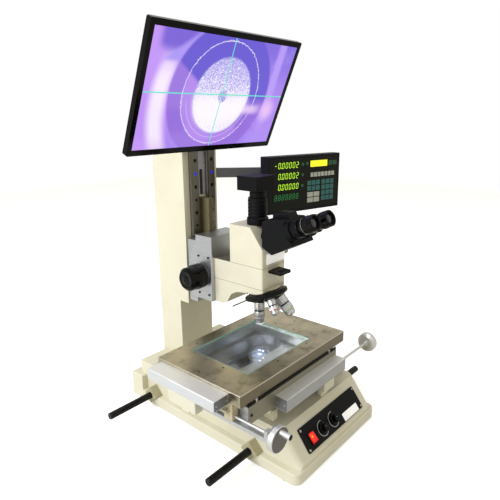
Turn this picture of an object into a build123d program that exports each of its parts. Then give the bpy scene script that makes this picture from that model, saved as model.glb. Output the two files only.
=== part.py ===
from build123d import *
import math
import os

# Measuring microscope with a cross stage, in millimetres. +Z is up, +X the operator's right and
# -Y the operator's side. The origin is the middle of the base's footprint on the table.
# The stage stands where the photograph shows it: pushed to the left and a little to the front.

OUT = "parts"
os.makedirs(OUT, exist_ok=True)

# Fits and gaps
SHAFT_GAP = 0.05        # radial clearance of a turning shaft in its bore
SLIDE_GAP = 0.4         # running gap between two sliding pieces
SEAT_GAP = 0.5          # gap round a piece let into a recess

# Base casting
BASE_WIDTH = 310
BASE_DEPTH = 512
FOOT_HEIGHT = 4
PLINTH_TOP = 28
PLINTH_STEP = 15        # how far the plinth stands out at each side of the body
BODY_WIDTH = BASE_WIDTH - 2 * PLINTH_STEP
BODY_TOP = 98
BASE_WALL = 10
CORNER_R = 16
SLOPE_TOP_Y = -204      # top edge of the slanted control front
SLOPE_RUN = 48
SLOPE_RISE = 62
REAR_BLOCK_DEPTH = 42
REAR_BLOCK_TOP = 66
FOOT_R = 11
FOOT_INSET = 34         # middle of each foot from the ends of the base
FOOT_BOLT_R = 3.2       # screw hole through each foot into the base
FOOT_BOLT_DEPTH = 16

# Optical axis: vertical, in the plane X = 0
OPTIC_Y = -35
WORK_HEIGHT = 208       # top of the stage plate

# Column
COLUMN_WIDTH = 106
COLUMN_BACK_Y = 256
COLUMN_FRONT_Y = 145
COLUMN_LOWER_FRONT_Y = 175
COLUMN_STEP_Z = 245     # where the overhanging rail front begins
COLUMN_TOP_Z = 700
RAIL_WIDTH = 20
RAIL_HEIGHT = 12
RAIL_SPACING = 52
RAIL_LENGTH = 430
RAIL_HOLE_PITCH = 60
RAIL_HOLE_R = 4.5       # counterbore of each rail screw
RAIL_HOLE_DEPTH = 5
COVER_WIDTH = 30        # light plate between the rails, above the rack
COVER_THICK = 2.6
COVER_BOTTOM_Z = 506

# Rack and pinion of the height drive
GEAR_MODULE = 1.0
PINION_TEETH = 32
RACK_WIDTH = 14
RACK_TOP_Z = 500

# Height carriage
CARRIAGE_WIDTH = 100
CARRIAGE_TOP_Z = 421
CARRIAGE_BOTTOM_Z = 268
CARRIAGE_FRONT_Y = 65
CARRIAGE_BACK_Y = 115
SADDLE_TOP_Z = 407
SADDLE_BOTTOM_Z = 256
FOCUS_Y = 96
FOCUS_Z = 328
FOCUS_SHAFT_R = 8
KNOB_R = 29
KNOB_LENGTH = 45
KNOB_FLUTES = 24
KNOB_COLLAR_R = 21
KNOB_COLLAR_LENGTH = 6

# Head
HEAD_WIDTH = 80
HEAD_FRONT_Y = -76
SECTION_BOTTOM_Z = 325
SECTION_TOP_Z = 372
HEAD_BACK_Y = 18
HEAD_TOP_Z = 458
HEAD_SLANT_TOP_Y = -43
HEAD_SLANT_BOTTOM_Z = 414
FILTER_WIDTH = 38
FILTER_THICK = 5.5
FILTER_REACH = 33       # how far the filter slide stands out at rest
FILTER_TRAVEL_IN = 15   # how far it can be pushed in from there
FILTER_Z = 362
SECTION_BORE_R = 14     # light path through the filter section
FILTER_HOLE_R = 12
LIGHT_BORE_R = 8        # light path through the arm and the nosepiece

# Revolving nosepiece, its axis leaning to the operator
TURRET_TILT = 20
TURRET_SEAT_Z = 288
TURRET_SEAT_R = 24
TURRET_R = 48
TURRET_THICK = 12
TURRET_STATIONS = 5
OBJECTIVE_THREAD_R = 10.16
THREAD_DEPTH = 8
BOSS_R = 12.5
BOSS_DROP = 7           # how far each objective's seat stands below the disc's middle

# Eyepieces
PUPIL_DISTANCE = 54
EYEPIECE_TILT = 25
EYEPIECE_END_Y = -197
EYEPIECE_END_Z = 488
EYEPIECE_R = 17.5
EYEPIECE_LENGTH = 34
BARREL_R = 14            # the eyepiece's barrel inside its tube
BARREL_LENGTH = 13
TUBE_R = 19
TUBE_LENGTH = 18       # between the eyepiece and its swing plate
SWING_PLATE = 13
SWING_PIVOT_R = 7

# Camera on the third tube
CAMERA_TUBE_Y = -31
CAMERA_TUBE_R = 20.5
CAMERA_WIDTH = 62
CAMERA_DEPTH = 56
CAMERA_HEIGHT = 30
CAMERA_BOTTOM_Z = 532

# Stage
STAGE_Y = -42            # middle of the bed and of the long light opening
PLATE_WIDTH = 354
PLATE_DEPTH = 228
PLATE_THICK = 24
PLATE_X = -56           # middle of the plate at rest
PLATE_Y = -71
GLASS_MARGIN_X = 75      # steel left beside the glass
GLASS_MARGIN_Y = 36
GLASS_WIDTH = PLATE_WIDTH - 2 * GLASS_MARGIN_X
GLASS_DEPTH = PLATE_DEPTH - 2 * GLASS_MARGIN_Y
GLASS_THICK = 5
GLASS_X = PLATE_X - 8
GLASS_Y = PLATE_Y + 4
GLASS_LEDGE = 7
STAGE_TAP_R = 2.1
STAGE_TAP_DEPTH = 12
WAY_HEIGHT = 6
WAY_WIDTH = 24
BED_INSET = 12           # bed inside the base's sides
BED_WIDTH = BODY_WIDTH - 2 * BED_INSET
BED_DEPTH = 246
BED_TOP_Z = 134
WELL_R = 60              # round well in the bed about the light tube
WELL_DEPTH = 20
XCAR_INSET = 27          # carriage inside the plate's ends
XCAR_WIDTH = PLATE_WIDTH - 2 * XCAR_INSET
XCAR_FRONT_Y = -187
XCAR_BACK_Y = 72
XCAR_TOP_Z = 177
XCAR_X = -64
BEAM_SLOT_LENGTH = 220
BEAM_SLOT_WIDTH = 84
LIGHT_TUBE_R = 28
LIGHT_TOP_Z = 147

# Stage drives: a smooth turning rod through a friction nut on each axis
ROD_R = 3
X_ROD_Y = -176
X_ROD_Z = 126
Y_ROD_OUT = 11          # Y rod outside the X carriage's left face
Y_ROD_X = XCAR_X - XCAR_WIDTH / 2 - Y_ROD_OUT
Y_ROD_Z = 156
WHEEL_R = 24
WHEEL_THICK = 17
WHEEL_HUB_R = 11
CRANK_R = 5.5
CRANK_OFFSET = 15
CRANK_LENGTH = 22

# Measuring scales
Y_SCALE_WIDTH = 37
Y_SCALE_HEIGHT = 22
Y_SCALE_LENGTH = 184
X_SCALE_DEPTH = 28
X_SCALE_HEIGHT = 27
X_SCALE_LENGTH = 214

# Carrying bars
BAR_R = 8
BAR_LENGTH = 120
BAR_Z = 30
BAR_FRONT_Y = -139
BAR_REAR_Y = 178
FLANGE_SIDE = 30
FLANGE_THICK = 5

# Readout
READOUT_WIDTH = 236
READOUT_HEIGHT = 138
READOUT_DEPTH = 30
READOUT_X = 220
READOUT_Y = -1
READOUT_Z = 520
READOUT_YAW = -15
READOUT_ARM_Z = 544.5
READOUT_ARM_HEIGHT = 24
READOUT_ARM_THICK = 8
READOUT_POST_X = 68     # pivot of the arm beside the column
READOUT_POST_Y = 214

# Monitor
MONITOR_WIDTH = 440
MONITOR_HEIGHT = 260
MONITOR_THICK = 13
MONITOR_HUMP = 14
MONITOR_Y = 68
MONITOR_Z = 727
MONITOR_TILT = 23.5
BEZEL = 11

parts = {}


def box(x0, x1, y0, y1, z0, z1):
    """Block between two corners."""
    centre = ((x0 + x1) / 2, (y0 + y1) / 2, (z0 + z1) / 2)
    return Pos(*centre) * Box(x1 - x0, y1 - y0, z1 - z0)


def rod_along(axis, centre, radius, length):
    """Cylinder of one length along X, Y or Z, centred on a point."""
    turn = {"X": Rot(0, 90, 0), "Y": Rot(90, 0, 0), "Z": Rot(0, 0, 0)}[axis]
    return Pos(*centre) * turn * Cylinder(radius, length)


def side_profile(points, half_width, x=0):
    """Closed outline of (y, z) points made a prism of equal reach on both sides of x."""
    face = make_face(Polyline(*[(0, y, z) for y, z in points], close=True))
    return Pos(x - half_width, 0, 0) * extrude(face, 2 * half_width, dir=(1, 0, 0))


def turned(points):
    """Solid of revolution about Z from a closed outline of (radius, z) points."""
    face = make_face(Polyline(*[(r, 0, z) for r, z in points], close=True))
    return revolve(face, Axis.Z)


def upright_edges(shape):
    return shape.edges().filter_by(Axis.Z)


def fluted(knob, radius, count, depth, bottom, top):
    """Knob about Z with V grooves cut along its rim between two heights."""
    groove = extrude(RegularPolygon(2 * depth, 4), top - bottom)
    return knob - [Rot(0, 0, k * 360 / count) * Pos(radius + depth, 0, bottom) * groove
                   for k in range(count)]


# Base
slope_bottom_y = SLOPE_TOP_Y - SLOPE_RUN
slope_bottom_z = BODY_TOP - SLOPE_RISE
slope_angle = math.degrees(math.atan2(SLOPE_RISE, SLOPE_RUN))
slope_frame = Pos(0, (SLOPE_TOP_Y + slope_bottom_y) / 2, (BODY_TOP + slope_bottom_z) / 2) \
    * Rot(slope_angle, 0, 0)


def make_base():
    """Cast base: a low plinth, a body with the slanted front, and a full-width rear block."""
    half_x, half_y = BASE_WIDTH / 2, BASE_DEPTH / 2
    plinth = box(-half_x, half_x, -half_y, half_y, FOOT_HEIGHT, PLINTH_TOP)
    plinth = fillet(upright_edges(plinth), CORNER_R)
    plinth = fillet(plinth.edges().group_by(Axis.Z)[-1], 3)
    body = side_profile([(slope_bottom_y, PLINTH_TOP - 2), (slope_bottom_y, slope_bottom_z),
                         (SLOPE_TOP_Y, BODY_TOP), (half_y - REAR_BLOCK_DEPTH / 2, BODY_TOP),
                         (half_y - REAR_BLOCK_DEPTH / 2, PLINTH_TOP - 2)], BODY_WIDTH / 2)
    ends = [e for e in body.edges().filter_by(Plane.YZ)
            if e.center().Y < SLOPE_TOP_Y + 1 and e.length > SLOPE_RUN]
    body = fillet(ends, CORNER_R - 2)
    rear = box(-half_x, half_x, half_y - REAR_BLOCK_DEPTH, half_y, FOOT_HEIGHT, REAR_BLOCK_TOP)
    rear = fillet(upright_edges(rear).group_by(Axis.Y)[-1], 2)
    rear = fillet(rear.edges().group_by(Axis.Z)[-1], 3)
    inner_x = BODY_WIDTH / 2 - BASE_WALL
    inner_front = slope_bottom_y + 2 * BASE_WALL
    hollow = side_profile([(inner_front, 0), (inner_front, slope_bottom_z),
                           (SLOPE_TOP_Y + BASE_WALL, BODY_TOP - BASE_WALL),
                           (half_y - BASE_WALL, BODY_TOP - BASE_WALL), (half_y - BASE_WALL, 0)],
                          inner_x)
    hollow -= box(-inner_x, inner_x, half_y - REAR_BLOCK_DEPTH, half_y,
                  REAR_BLOCK_TOP - BASE_WALL, BODY_TOP)
    return plinth + body + rear - hollow


parts["base_casting"] = make_base()

foot_x = BASE_WIDTH / 2 - FOOT_R - 3
foot_y = BASE_DEPTH / 2 - FOOT_INSET
feet = []
for sx in (-1, 1):
    for sy in (-1, 1):
        bolt_hole = rod_along("Z", (sx * foot_x, sy * foot_y, 0), FOOT_BOLT_R,
                              2 * (FOOT_HEIGHT + FOOT_BOLT_DEPTH))
        feet.append(rod_along("Z", (sx * foot_x, sy * foot_y, FOOT_HEIGHT / 2), FOOT_R, FOOT_HEIGHT)
                    - bolt_hole)
        parts["base_casting"] -= bolt_hole
parts["rubber_feet"] = Compound(feet)

# Control panel on the slanted front: plate, rocker switch and two brightness knobs
PANEL_WIDTH = 212
PANEL_HEIGHT = 51
PANEL_X = 3.5
PANEL_UP = -5.5         # middle of the plate, measured up the slope from its middle
PANEL_THICK = 2
ROCKER_X = -74.5
ROCKER_WIDTH = 16
ROCKER_HEIGHT = 22
ROCKER_UP = -10.5
DIMMER_X = (-36.5, 4)
DIMMER_UP = -9
DIMMER_R = 11
DIMMER_LENGTH = 15
DIMMER_SHAFT_R = 3
DIMMER_FLUTES = 12


def on_slope(x, up, out):
    """Place on the slanted front: x across, up along the slope, out from its face."""
    return slope_frame * Pos(x, up, out)


rocker_hole = on_slope(ROCKER_X, ROCKER_UP, 0) * Box(ROCKER_WIDTH + 1, ROCKER_HEIGHT + 1, 40)
panel = Box(PANEL_WIDTH, PANEL_HEIGHT, PANEL_THICK)
panel = fillet(panel.edges().filter_by(Axis.Z), 3)
panel = on_slope(PANEL_X, PANEL_UP, PANEL_THICK / 2) * panel
frame_ring = Box(ROCKER_WIDTH + 5, ROCKER_HEIGHT + 5, PANEL_THICK + 1.5)
panel += on_slope(ROCKER_X, ROCKER_UP, (PANEL_THICK + 1.5) / 2) * frame_ring
panel -= rocker_hole
for x in DIMMER_X:
    panel -= on_slope(x, DIMMER_UP, 0) * Cylinder(DIMMER_SHAFT_R + SHAFT_GAP, 20)
parts["control_plate"] = panel
parts["base_casting"] -= rocker_hole
for x in DIMMER_X:
    parts["base_casting"] -= on_slope(x, DIMMER_UP, 0) * Cylinder(DIMMER_SHAFT_R + 1, 60)

rocker = extrude(make_face(Polyline((0, -ROCKER_HEIGHT / 2, -8), (0, ROCKER_HEIGHT / 2, -8),
                                    (0, ROCKER_HEIGHT / 2, 3), (0, 0, 4.5),
                                    (0, -ROCKER_HEIGHT / 2, 7), close=True)),
                 ROCKER_WIDTH, dir=(1, 0, 0))
rocker = Pos(-ROCKER_WIDTH / 2, 0, 0) * rocker
rocker &= Rot(0, 90, 0) * Cylinder(ROCKER_HEIGHT / 2, ROCKER_WIDTH)
parts["rocker_switch"] = on_slope(ROCKER_X, ROCKER_UP, 0) * rocker

for side, x in zip(("left", "right"), DIMMER_X):
    knob = turned([(0, PANEL_THICK + SLIDE_GAP), (DIMMER_R, PANEL_THICK + SLIDE_GAP),
                   (DIMMER_R, 5), (DIMMER_R - 2, 6), (DIMMER_R - 3, DIMMER_LENGTH),
                   (0, DIMMER_LENGTH)])
    knob = fluted(knob, DIMMER_R - 2.5, DIMMER_FLUTES, 0.7, 6.5, DIMMER_LENGTH + 1)
    knob += Pos(0, 0, -4) * Cylinder(DIMMER_SHAFT_R, 14)
    parts["dimmer_knob_" + side] = on_slope(x, DIMMER_UP, 0) * knob

# Power inlet in the rear block
INLET_WIDTH = 28
INLET_HEIGHT = 20
INLET_X = 60
inlet = box(INLET_X - INLET_WIDTH / 2 - 11, INLET_X + INLET_WIDTH / 2 + 11, BASE_DEPTH / 2,
            BASE_DEPTH / 2 + 2.5, 36 - INLET_HEIGHT / 2 - 3, 36 + INLET_HEIGHT / 2 + 3)
inlet += box(INLET_X - INLET_WIDTH / 2, INLET_X + INLET_WIDTH / 2, BASE_DEPTH / 2 - BASE_WALL,
             BASE_DEPTH / 2 + 1, 36 - INLET_HEIGHT / 2, 36 + INLET_HEIGHT / 2)
inlet -= box(INLET_X - 11, INLET_X + 11, BASE_DEPTH / 2 - 8, BASE_DEPTH / 2 + 5, 29, 43)
for dx in (-6.5, 0, 6.5):
    inlet += box(INLET_X + dx - 1, INLET_X + dx + 1, BASE_DEPTH / 2 - 8.5, BASE_DEPTH / 2, 34, 38)
parts["power_inlet"] = inlet
parts["base_casting"] -= box(INLET_X - INLET_WIDTH / 2, INLET_X + INLET_WIDTH / 2,
                             BASE_DEPTH / 2 - BASE_WALL - 1, BASE_DEPTH / 2 + 1,
                             36 - INLET_HEIGHT / 2, 36 + INLET_HEIGHT / 2)

# Carrying bars, each in a square flange set on its corner
for name, side, y in (("carrying_bar_front_left", -1, BAR_FRONT_Y),
                      ("carrying_bar_rear_left", -1, BAR_REAR_Y),
                      ("carrying_bar_front_right", 1, BAR_FRONT_Y),
                      ("carrying_bar_rear_right", 1, BAR_REAR_Y)):
    face_x = BODY_WIDTH / 2
    reach = BASE_WIDTH / 2 - face_x
    flange = Rot(45, 0, 0) * Box(reach + FLANGE_THICK, FLANGE_SIDE, FLANGE_SIDE)
    flange = Pos(side * (face_x + (reach + FLANGE_THICK) / 2), y, BAR_Z) * flange
    root = face_x - BASE_WALL
    tip = BASE_WIDTH / 2 + BAR_LENGTH
    bar = rod_along("X", (side * (root + tip) / 2, y, BAR_Z), BAR_R, tip - root)
    bar = chamfer(bar.edges().group_by(Axis.X)[-1 if side > 0 else 0], 1)
    parts["base_casting"] -= flange
    parts["base_casting"] -= rod_along("X", (side * root, y, BAR_Z), BAR_R + SHAFT_GAP, 40)
    parts[name] = flange + bar

# Column with its two rails, the light cover and the rack
half_col = COLUMN_WIDTH / 2
column = side_profile([(COLUMN_LOWER_FRONT_Y, BODY_TOP), (COLUMN_LOWER_FRONT_Y, COLUMN_STEP_Z),
                       (COLUMN_FRONT_Y, COLUMN_STEP_Z), (COLUMN_FRONT_Y, COLUMN_TOP_Z),
                       (COLUMN_BACK_Y, COLUMN_TOP_Z), (COLUMN_BACK_Y, REAR_BLOCK_TOP),
                       (BASE_DEPTH / 2 - REAR_BLOCK_DEPTH / 2, REAR_BLOCK_TOP),
                       (BASE_DEPTH / 2 - REAR_BLOCK_DEPTH / 2, BODY_TOP)], half_col)
column = fillet(upright_edges(column).group_by(Axis.Y)[-1], 8)
column = fillet(column.edges().group_by(Axis.Z)[-1], 3)
wall = BASE_WALL + 2
column -= box(-half_col + wall, half_col - wall, COLUMN_LOWER_FRONT_Y + wall,
              COLUMN_BACK_Y - wall, REAR_BLOCK_TOP - 1, COLUMN_TOP_Z - wall)
column -= box(-half_col + wall, half_col - wall, COLUMN_FRONT_Y + wall, COLUMN_BACK_Y - wall,
              COLUMN_STEP_Z + wall, COLUMN_TOP_Z - wall)
rail_bottom_z = COLUMN_STEP_Z + 5
rail_front_y = COLUMN_FRONT_Y - RAIL_HEIGHT
for side, sx in (("left", -1), ("right", 1)):
    x = sx * RAIL_SPACING / 2
    rail = box(x - RAIL_WIDTH / 2, x + RAIL_WIDTH / 2, rail_front_y, COLUMN_FRONT_Y,
               rail_bottom_z, rail_bottom_z + RAIL_LENGTH)
    for flank in (-1, 1):
        groove = RegularPolygon(2.2, 4, rotation=0)
        cutter = extrude(groove, RAIL_LENGTH)
        rail -= Pos(x + flank * RAIL_WIDTH / 2, rail_front_y + RAIL_HEIGHT / 2,
                    rail_bottom_z) * cutter
    for k in range(int(RAIL_LENGTH / RAIL_HOLE_PITCH)):
        z = rail_bottom_z + RAIL_HOLE_PITCH * (k + 0.6)
        rail -= rod_along("Y", (x, rail_front_y, z), RAIL_HOLE_R, 2 * RAIL_HOLE_DEPTH)
    parts["rail_" + side] = rail

cover = box(-COVER_WIDTH / 2, COVER_WIDTH / 2, COLUMN_FRONT_Y - COVER_THICK, COLUMN_FRONT_Y,
            COVER_BOTTOM_Z, rail_bottom_z + RAIL_LENGTH)
slot_top = COVER_BOTTOM_Z + 54
cover -= box(-5, 5, COLUMN_FRONT_Y - 7, COLUMN_FRONT_Y + 1, COVER_BOTTOM_Z - 1, slot_top)
cover -= rod_along("Y", (0, COLUMN_FRONT_Y, slot_top), 5, 20)
parts["column_cover"] = cover

pinion_r = GEAR_MODULE * PINION_TEETH / 2
pitch = math.pi * GEAR_MODULE
rack_pitch_y = FOCUS_Y + pinion_r
addendum = 0.9 * GEAR_MODULE
dedendum = 1.15 * GEAR_MODULE
BACKLASH = 0.12


def rack_outline():
    """Rack teeth as (y, z) points, one of them centred at the pinion's height."""
    first = -int((FOCUS_Z - rail_bottom_z) / pitch)
    last = int((RACK_TOP_Z - FOCUS_Z) / pitch)
    slope = math.tan(math.radians(20))
    half = pitch / 4 - BACKLASH
    points = []
    for k in range(first, last + 1):
        z = FOCUS_Z + k * pitch
        root = half + dedendum * slope
        tip = half - addendum * slope
        points += [(rack_pitch_y + dedendum, z - root), (rack_pitch_y - addendum, z - tip),
                   (rack_pitch_y - addendum, z + tip), (rack_pitch_y + dedendum, z + root)]
    start, end = points[0][1] - 1, points[-1][1] + 1
    points = [(rack_pitch_y + dedendum, start)] + points + [(rack_pitch_y + dedendum, end)]
    return points + [(COLUMN_FRONT_Y, end), (COLUMN_FRONT_Y, start)]


parts["height_rack"] = side_profile(rack_outline(), RACK_WIDTH / 2)


def pinion_outline():
    """Straight-sided pinion teeth round the origin, with a gap facing the rack (+Y)."""
    points = []
    step = 2 * math.pi / PINION_TEETH
    tip = step * 0.14
    root = step * 0.36
    for k in range(PINION_TEETH):
        a = math.pi / 2 + (k + 0.5) * step
        for r, off in ((pinion_r - dedendum, -root), (pinion_r + addendum, -tip),
                       (pinion_r + addendum, tip), (pinion_r - dedendum, root)):
            points.append((r * math.sin(a + off), r * math.cos(a + off)))
    return points


# The focus shaft carries the pinion and both knobs
shaft_half = CARRIAGE_WIDTH / 2 + KNOB_COLLAR_LENGTH + 8
shaft = rod_along("X", (0, FOCUS_Y, FOCUS_Z), FOCUS_SHAFT_R, 2 * shaft_half)
teeth = [(FOCUS_Y + y, FOCUS_Z + z) for y, z in pinion_outline()]
shaft += side_profile(teeth, RACK_WIDTH / 2 - 1)
parts["focus_shaft"] = shaft
for side, sx in (("left", -1), ("right", 1)):
    knob = turned([(0, 0), (KNOB_R - 1.5, 0), (KNOB_R, 1.5), (KNOB_R, 19), (KNOB_R - 1, 20),
                   (KNOB_R - 1, 22), (KNOB_R - 2, KNOB_LENGTH - 5), (KNOB_R - 7, KNOB_LENGTH),
                   (0, KNOB_LENGTH)])
    knob = fluted(knob, KNOB_R, KNOB_FLUTES, 0.8, 2, 18)
    knob -= Pos(0, 0, 8) * Cylinder(FOCUS_SHAFT_R, 16)
    start = sx * (CARRIAGE_WIDTH / 2 + KNOB_COLLAR_LENGTH + 1)
    parts["focus_knob_" + side] = Pos(start, FOCUS_Y, FOCUS_Z) * Rot(0, 90 * sx, 0) * knob

# Height carriage: the saddle rides on the rails, the block in front holds the pinion
half_car = CARRIAGE_WIDTH / 2
saddle_back_y = COLUMN_FRONT_Y - 3
rack_slot = RACK_WIDTH / 2 + 2
for side, sx in (("left", -1), ("right", 1)):
    x = sx * RAIL_SPACING / 2
    inner, outer = sorted((sx * rack_slot, sx * half_car))
    guide = box(inner, outer, CARRIAGE_BACK_Y, saddle_back_y, SADDLE_BOTTOM_Z, SADDLE_TOP_Z)
    guide -= box(x - RAIL_WIDTH / 2 - SLIDE_GAP, x + RAIL_WIDTH / 2 + SLIDE_GAP,
                 rail_front_y - SLIDE_GAP, saddle_back_y + 1, SADDLE_BOTTOM_Z - 1,
                 SADDLE_TOP_Z + 1)
    parts["guide_block_" + side] = guide

block = box(-half_car, half_car, CARRIAGE_FRONT_Y, CARRIAGE_BACK_Y, CARRIAGE_BOTTOM_Z,
            CARRIAGE_TOP_Z)
block = fillet(upright_edges(block).group_by(Axis.Y)[0], 3)
block -= rod_along("X", (0, FOCUS_Y, FOCUS_Z), FOCUS_SHAFT_R + SHAFT_GAP, 2 * half_car + 2)
block -= rod_along("X", (0, FOCUS_Y, FOCUS_Z), pinion_r + addendum + 2, 2 * rack_slot)
rack_clear_y = rack_pitch_y - addendum - 2
block -= box(-rack_slot, rack_slot, rack_clear_y, CARRIAGE_BACK_Y + 1, CARRIAGE_BOTTOM_Z - 1,
             CARRIAGE_TOP_Z + 1)
for sx in (-1, 1):
    collar = rod_along("X", (sx * (half_car + KNOB_COLLAR_LENGTH / 2), FOCUS_Y, FOCUS_Z),
                       KNOB_COLLAR_R, KNOB_COLLAR_LENGTH)
    collar -= rod_along("X", (0, FOCUS_Y, FOCUS_Z), FOCUS_SHAFT_R + SHAFT_GAP, 3 * half_car)
    block += collar
parts["height_block"] = block

# Head: arm, filter section and the upper housing with the slanted front
half_head = HEAD_WIDTH / 2
arm = side_profile([(CARRIAGE_FRONT_Y, CARRIAGE_BOTTOM_Z), (CARRIAGE_FRONT_Y, SECTION_BOTTOM_Z),
                    (HEAD_FRONT_Y, SECTION_BOTTOM_Z), (HEAD_FRONT_Y, 318), (-58, 312),
                    (-4, 306), (14, 297), (28, 274), (40, CARRIAGE_BOTTOM_Z)], half_head)
arm = fillet(upright_edges(arm).group_by(Axis.Y)[0], 4)
section = box(-half_head, half_head, HEAD_FRONT_Y, CARRIAGE_FRONT_Y, SECTION_BOTTOM_Z,
              SECTION_TOP_Z)
section = fillet(upright_edges(section).group_by(Axis.Y)[0], 4)
filter_depth = 70
section -= box(-FILTER_WIDTH / 2 - SLIDE_GAP, FILTER_WIDTH / 2 + SLIDE_GAP, HEAD_FRONT_Y - 1,
               HEAD_FRONT_Y + filter_depth + FILTER_TRAVEL_IN + 2,
               FILTER_Z - FILTER_THICK / 2 - SLIDE_GAP, FILTER_Z + FILTER_THICK / 2 + SLIDE_GAP)
section -= rod_along("Z", (0, OPTIC_Y, (SECTION_BOTTOM_Z + SECTION_TOP_Z) / 2), SECTION_BORE_R,
                     SECTION_TOP_Z - SECTION_BOTTOM_Z)
parts["filter_section"] = section
head = side_profile([(HEAD_BACK_Y, SECTION_TOP_Z), (HEAD_BACK_Y, HEAD_TOP_Z),
                     (HEAD_SLANT_TOP_Y, HEAD_TOP_Z), (HEAD_FRONT_Y, HEAD_SLANT_BOTTOM_Z),
                     (HEAD_FRONT_Y, SECTION_TOP_Z)], half_head)
head = fillet(upright_edges(head), 4)
parts["head_housing"] = head

filter_slide = box(-FILTER_WIDTH / 2, FILTER_WIDTH / 2, HEAD_FRONT_Y - FILTER_REACH,
                   HEAD_FRONT_Y + filter_depth, FILTER_Z - FILTER_THICK / 2,
                   FILTER_Z + FILTER_THICK / 2)
filter_slide = fillet(upright_edges(filter_slide).group_by(Axis.Y)[0], 4)
filter_slide -= rod_along("Z", (0, OPTIC_Y, FILTER_Z), FILTER_HOLE_R, 2 * FILTER_THICK)
parts["filter_slide"] = filter_slide

PATH_ROD_Y = -66
PATH_ROD_Z = 392
PATH_ROD_OUT = 6        # rod outside the housing, up to its knob
PATH_ROD_INSIDE = 24
PATH_TRAVEL_IN = 5
head -= rod_along("X", (half_head, PATH_ROD_Y, PATH_ROD_Z), 3 + SHAFT_GAP,
                  2 * (PATH_ROD_INSIDE + PATH_TRAVEL_IN + 1))
parts["head_housing"] = head
path_rod = rod_along("X", (half_head + (PATH_ROD_OUT - PATH_ROD_INSIDE) / 2, PATH_ROD_Y, PATH_ROD_Z),
                     3, PATH_ROD_OUT + PATH_ROD_INSIDE)
path_rod += rod_along("X", (half_head + PATH_ROD_OUT + 5, PATH_ROD_Y, PATH_ROD_Z), 6, 10)
parts["path_rod"] = path_rod

# Revolving nosepiece. Its own frame has Z up the leaning axis and the origin on the seat plane.
tilt = math.radians(TURRET_TILT)
seat_slant = TURRET_SEAT_R / math.sin(tilt)
apex_z = TURRET_SEAT_Z + seat_slant
hub_reach = seat_slant * math.cos(tilt)
turret_y = OPTIC_Y - hub_reach * math.sin(tilt)
turret_z = apex_z - hub_reach * math.cos(tilt)
turret_frame = Pos(0, turret_y, turret_z) * Rot(-TURRET_TILT, 0, 0)


def at_station(k, drop):
    """Frame on an objective's axis: Z runs back up to the optical head, drop mm below its seat."""
    spin = Rot(0, 0, -k * 360 / TURRET_STATIONS)
    seat = Pos(0, TURRET_SEAT_R, 0) * Rot(TURRET_TILT, 0, 0)
    return turret_frame * spin * seat * Pos(0, 0, -drop)


MOUNT_GAP = 0.4
mount_bottom = TURRET_THICK + MOUNT_GAP
mount = turret_frame * turned([(4, mount_bottom), (30, mount_bottom), (36, mount_bottom + 4),
                               (36, mount_bottom + 34), (4, mount_bottom + 34)])
pivot = turret_frame * Pos(0, 0, mount_bottom - 4) * Cylinder(6, 20)
keep = box(-half_head, half_head, HEAD_FRONT_Y - 40, 40, 280, SECTION_BOTTOM_Z - 4)
mount = mount & keep
arm += mount + pivot
arm -= rod_along("Z", (0, OPTIC_Y, SECTION_BOTTOM_Z), LIGHT_BORE_R, 80)

disc = turned([(6 + SHAFT_GAP, 0), (TURRET_R - 10, -2), (TURRET_R - 2, 2), (TURRET_R, 4),
               (TURRET_R, TURRET_THICK - 1), (TURRET_R - 1, TURRET_THICK),
               (6 + SHAFT_GAP, TURRET_THICK)])
disc = turret_frame * disc
for k in range(TURRET_STATIONS):
    disc += at_station(k, (BOSS_DROP - 1) / 2) * Cylinder(BOSS_R, BOSS_DROP + 1)
for k in range(TURRET_STATIONS):
    disc -= at_station(k, BOSS_DROP) * Cylinder(OBJECTIVE_THREAD_R, 2 * THREAD_DEPTH)
    disc -= at_station(k, 0) * Cylinder(LIGHT_BORE_R, 60)
disc -= turret_frame * Cylinder(6 + SHAFT_GAP, 60)
parts["turret"] = disc

OBJECTIVES = {"objective_low": (0, 12, 55), "objective_short": (1, 11.5, 36),
              "objective_high": (2, 13, 48), "objective_slim": (3, 9.5, 34)}
for name, (station, radius, length) in OBJECTIVES.items():
    thread_r = OBJECTIVE_THREAD_R - SHAFT_GAP
    body = turned([(0, 5), (thread_r, 5), (thread_r, 0), (radius, 0),
                   (radius, -length * 0.34), (radius - 0.8, -length * 0.36),
                   (radius - 0.8, -length * 0.42), (radius, -length * 0.44),
                   (radius, -length * 0.74), (radius - 1.2, -length * 0.76),
                   (radius - 1.2, -length * 0.9), (radius - 4.5, -length), (0, -length)])
    parts[name] = at_station(station, BOSS_DROP) * body

# Thin clamping rod of the nosepiece, held by a small post under the arm behind the disc
CLAMP_X = 12
CLAMP_Y = 0
CLAMP_Z = 274
CLAMP_ROD_R = 1.7
CLAMP_ROD_TIP = 51.5    # how far left of the optical axis the rod ends
CLAMP_POST = 8
CLAMP_POST_BELOW = 3    # post below the rod's axis
arm += box(CLAMP_X - CLAMP_POST / 2, CLAMP_X + CLAMP_POST / 2, CLAMP_Y - CLAMP_POST / 2,
           CLAMP_Y + CLAMP_POST / 2, CLAMP_Z - CLAMP_POST_BELOW, SECTION_BOTTOM_Z - CLAMP_POST)
arm -= rod_along("X", (CLAMP_X, CLAMP_Y, CLAMP_Z), CLAMP_ROD_R + SHAFT_GAP, 2 * CLAMP_POST)
parts["head_arm"] = arm
parts["nosepiece_rod"] = rod_along("X", ((CLAMP_X - CLAMP_ROD_TIP) / 2, CLAMP_Y, CLAMP_Z),
                                   CLAMP_ROD_R, CLAMP_X + CLAMP_ROD_TIP)

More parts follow.
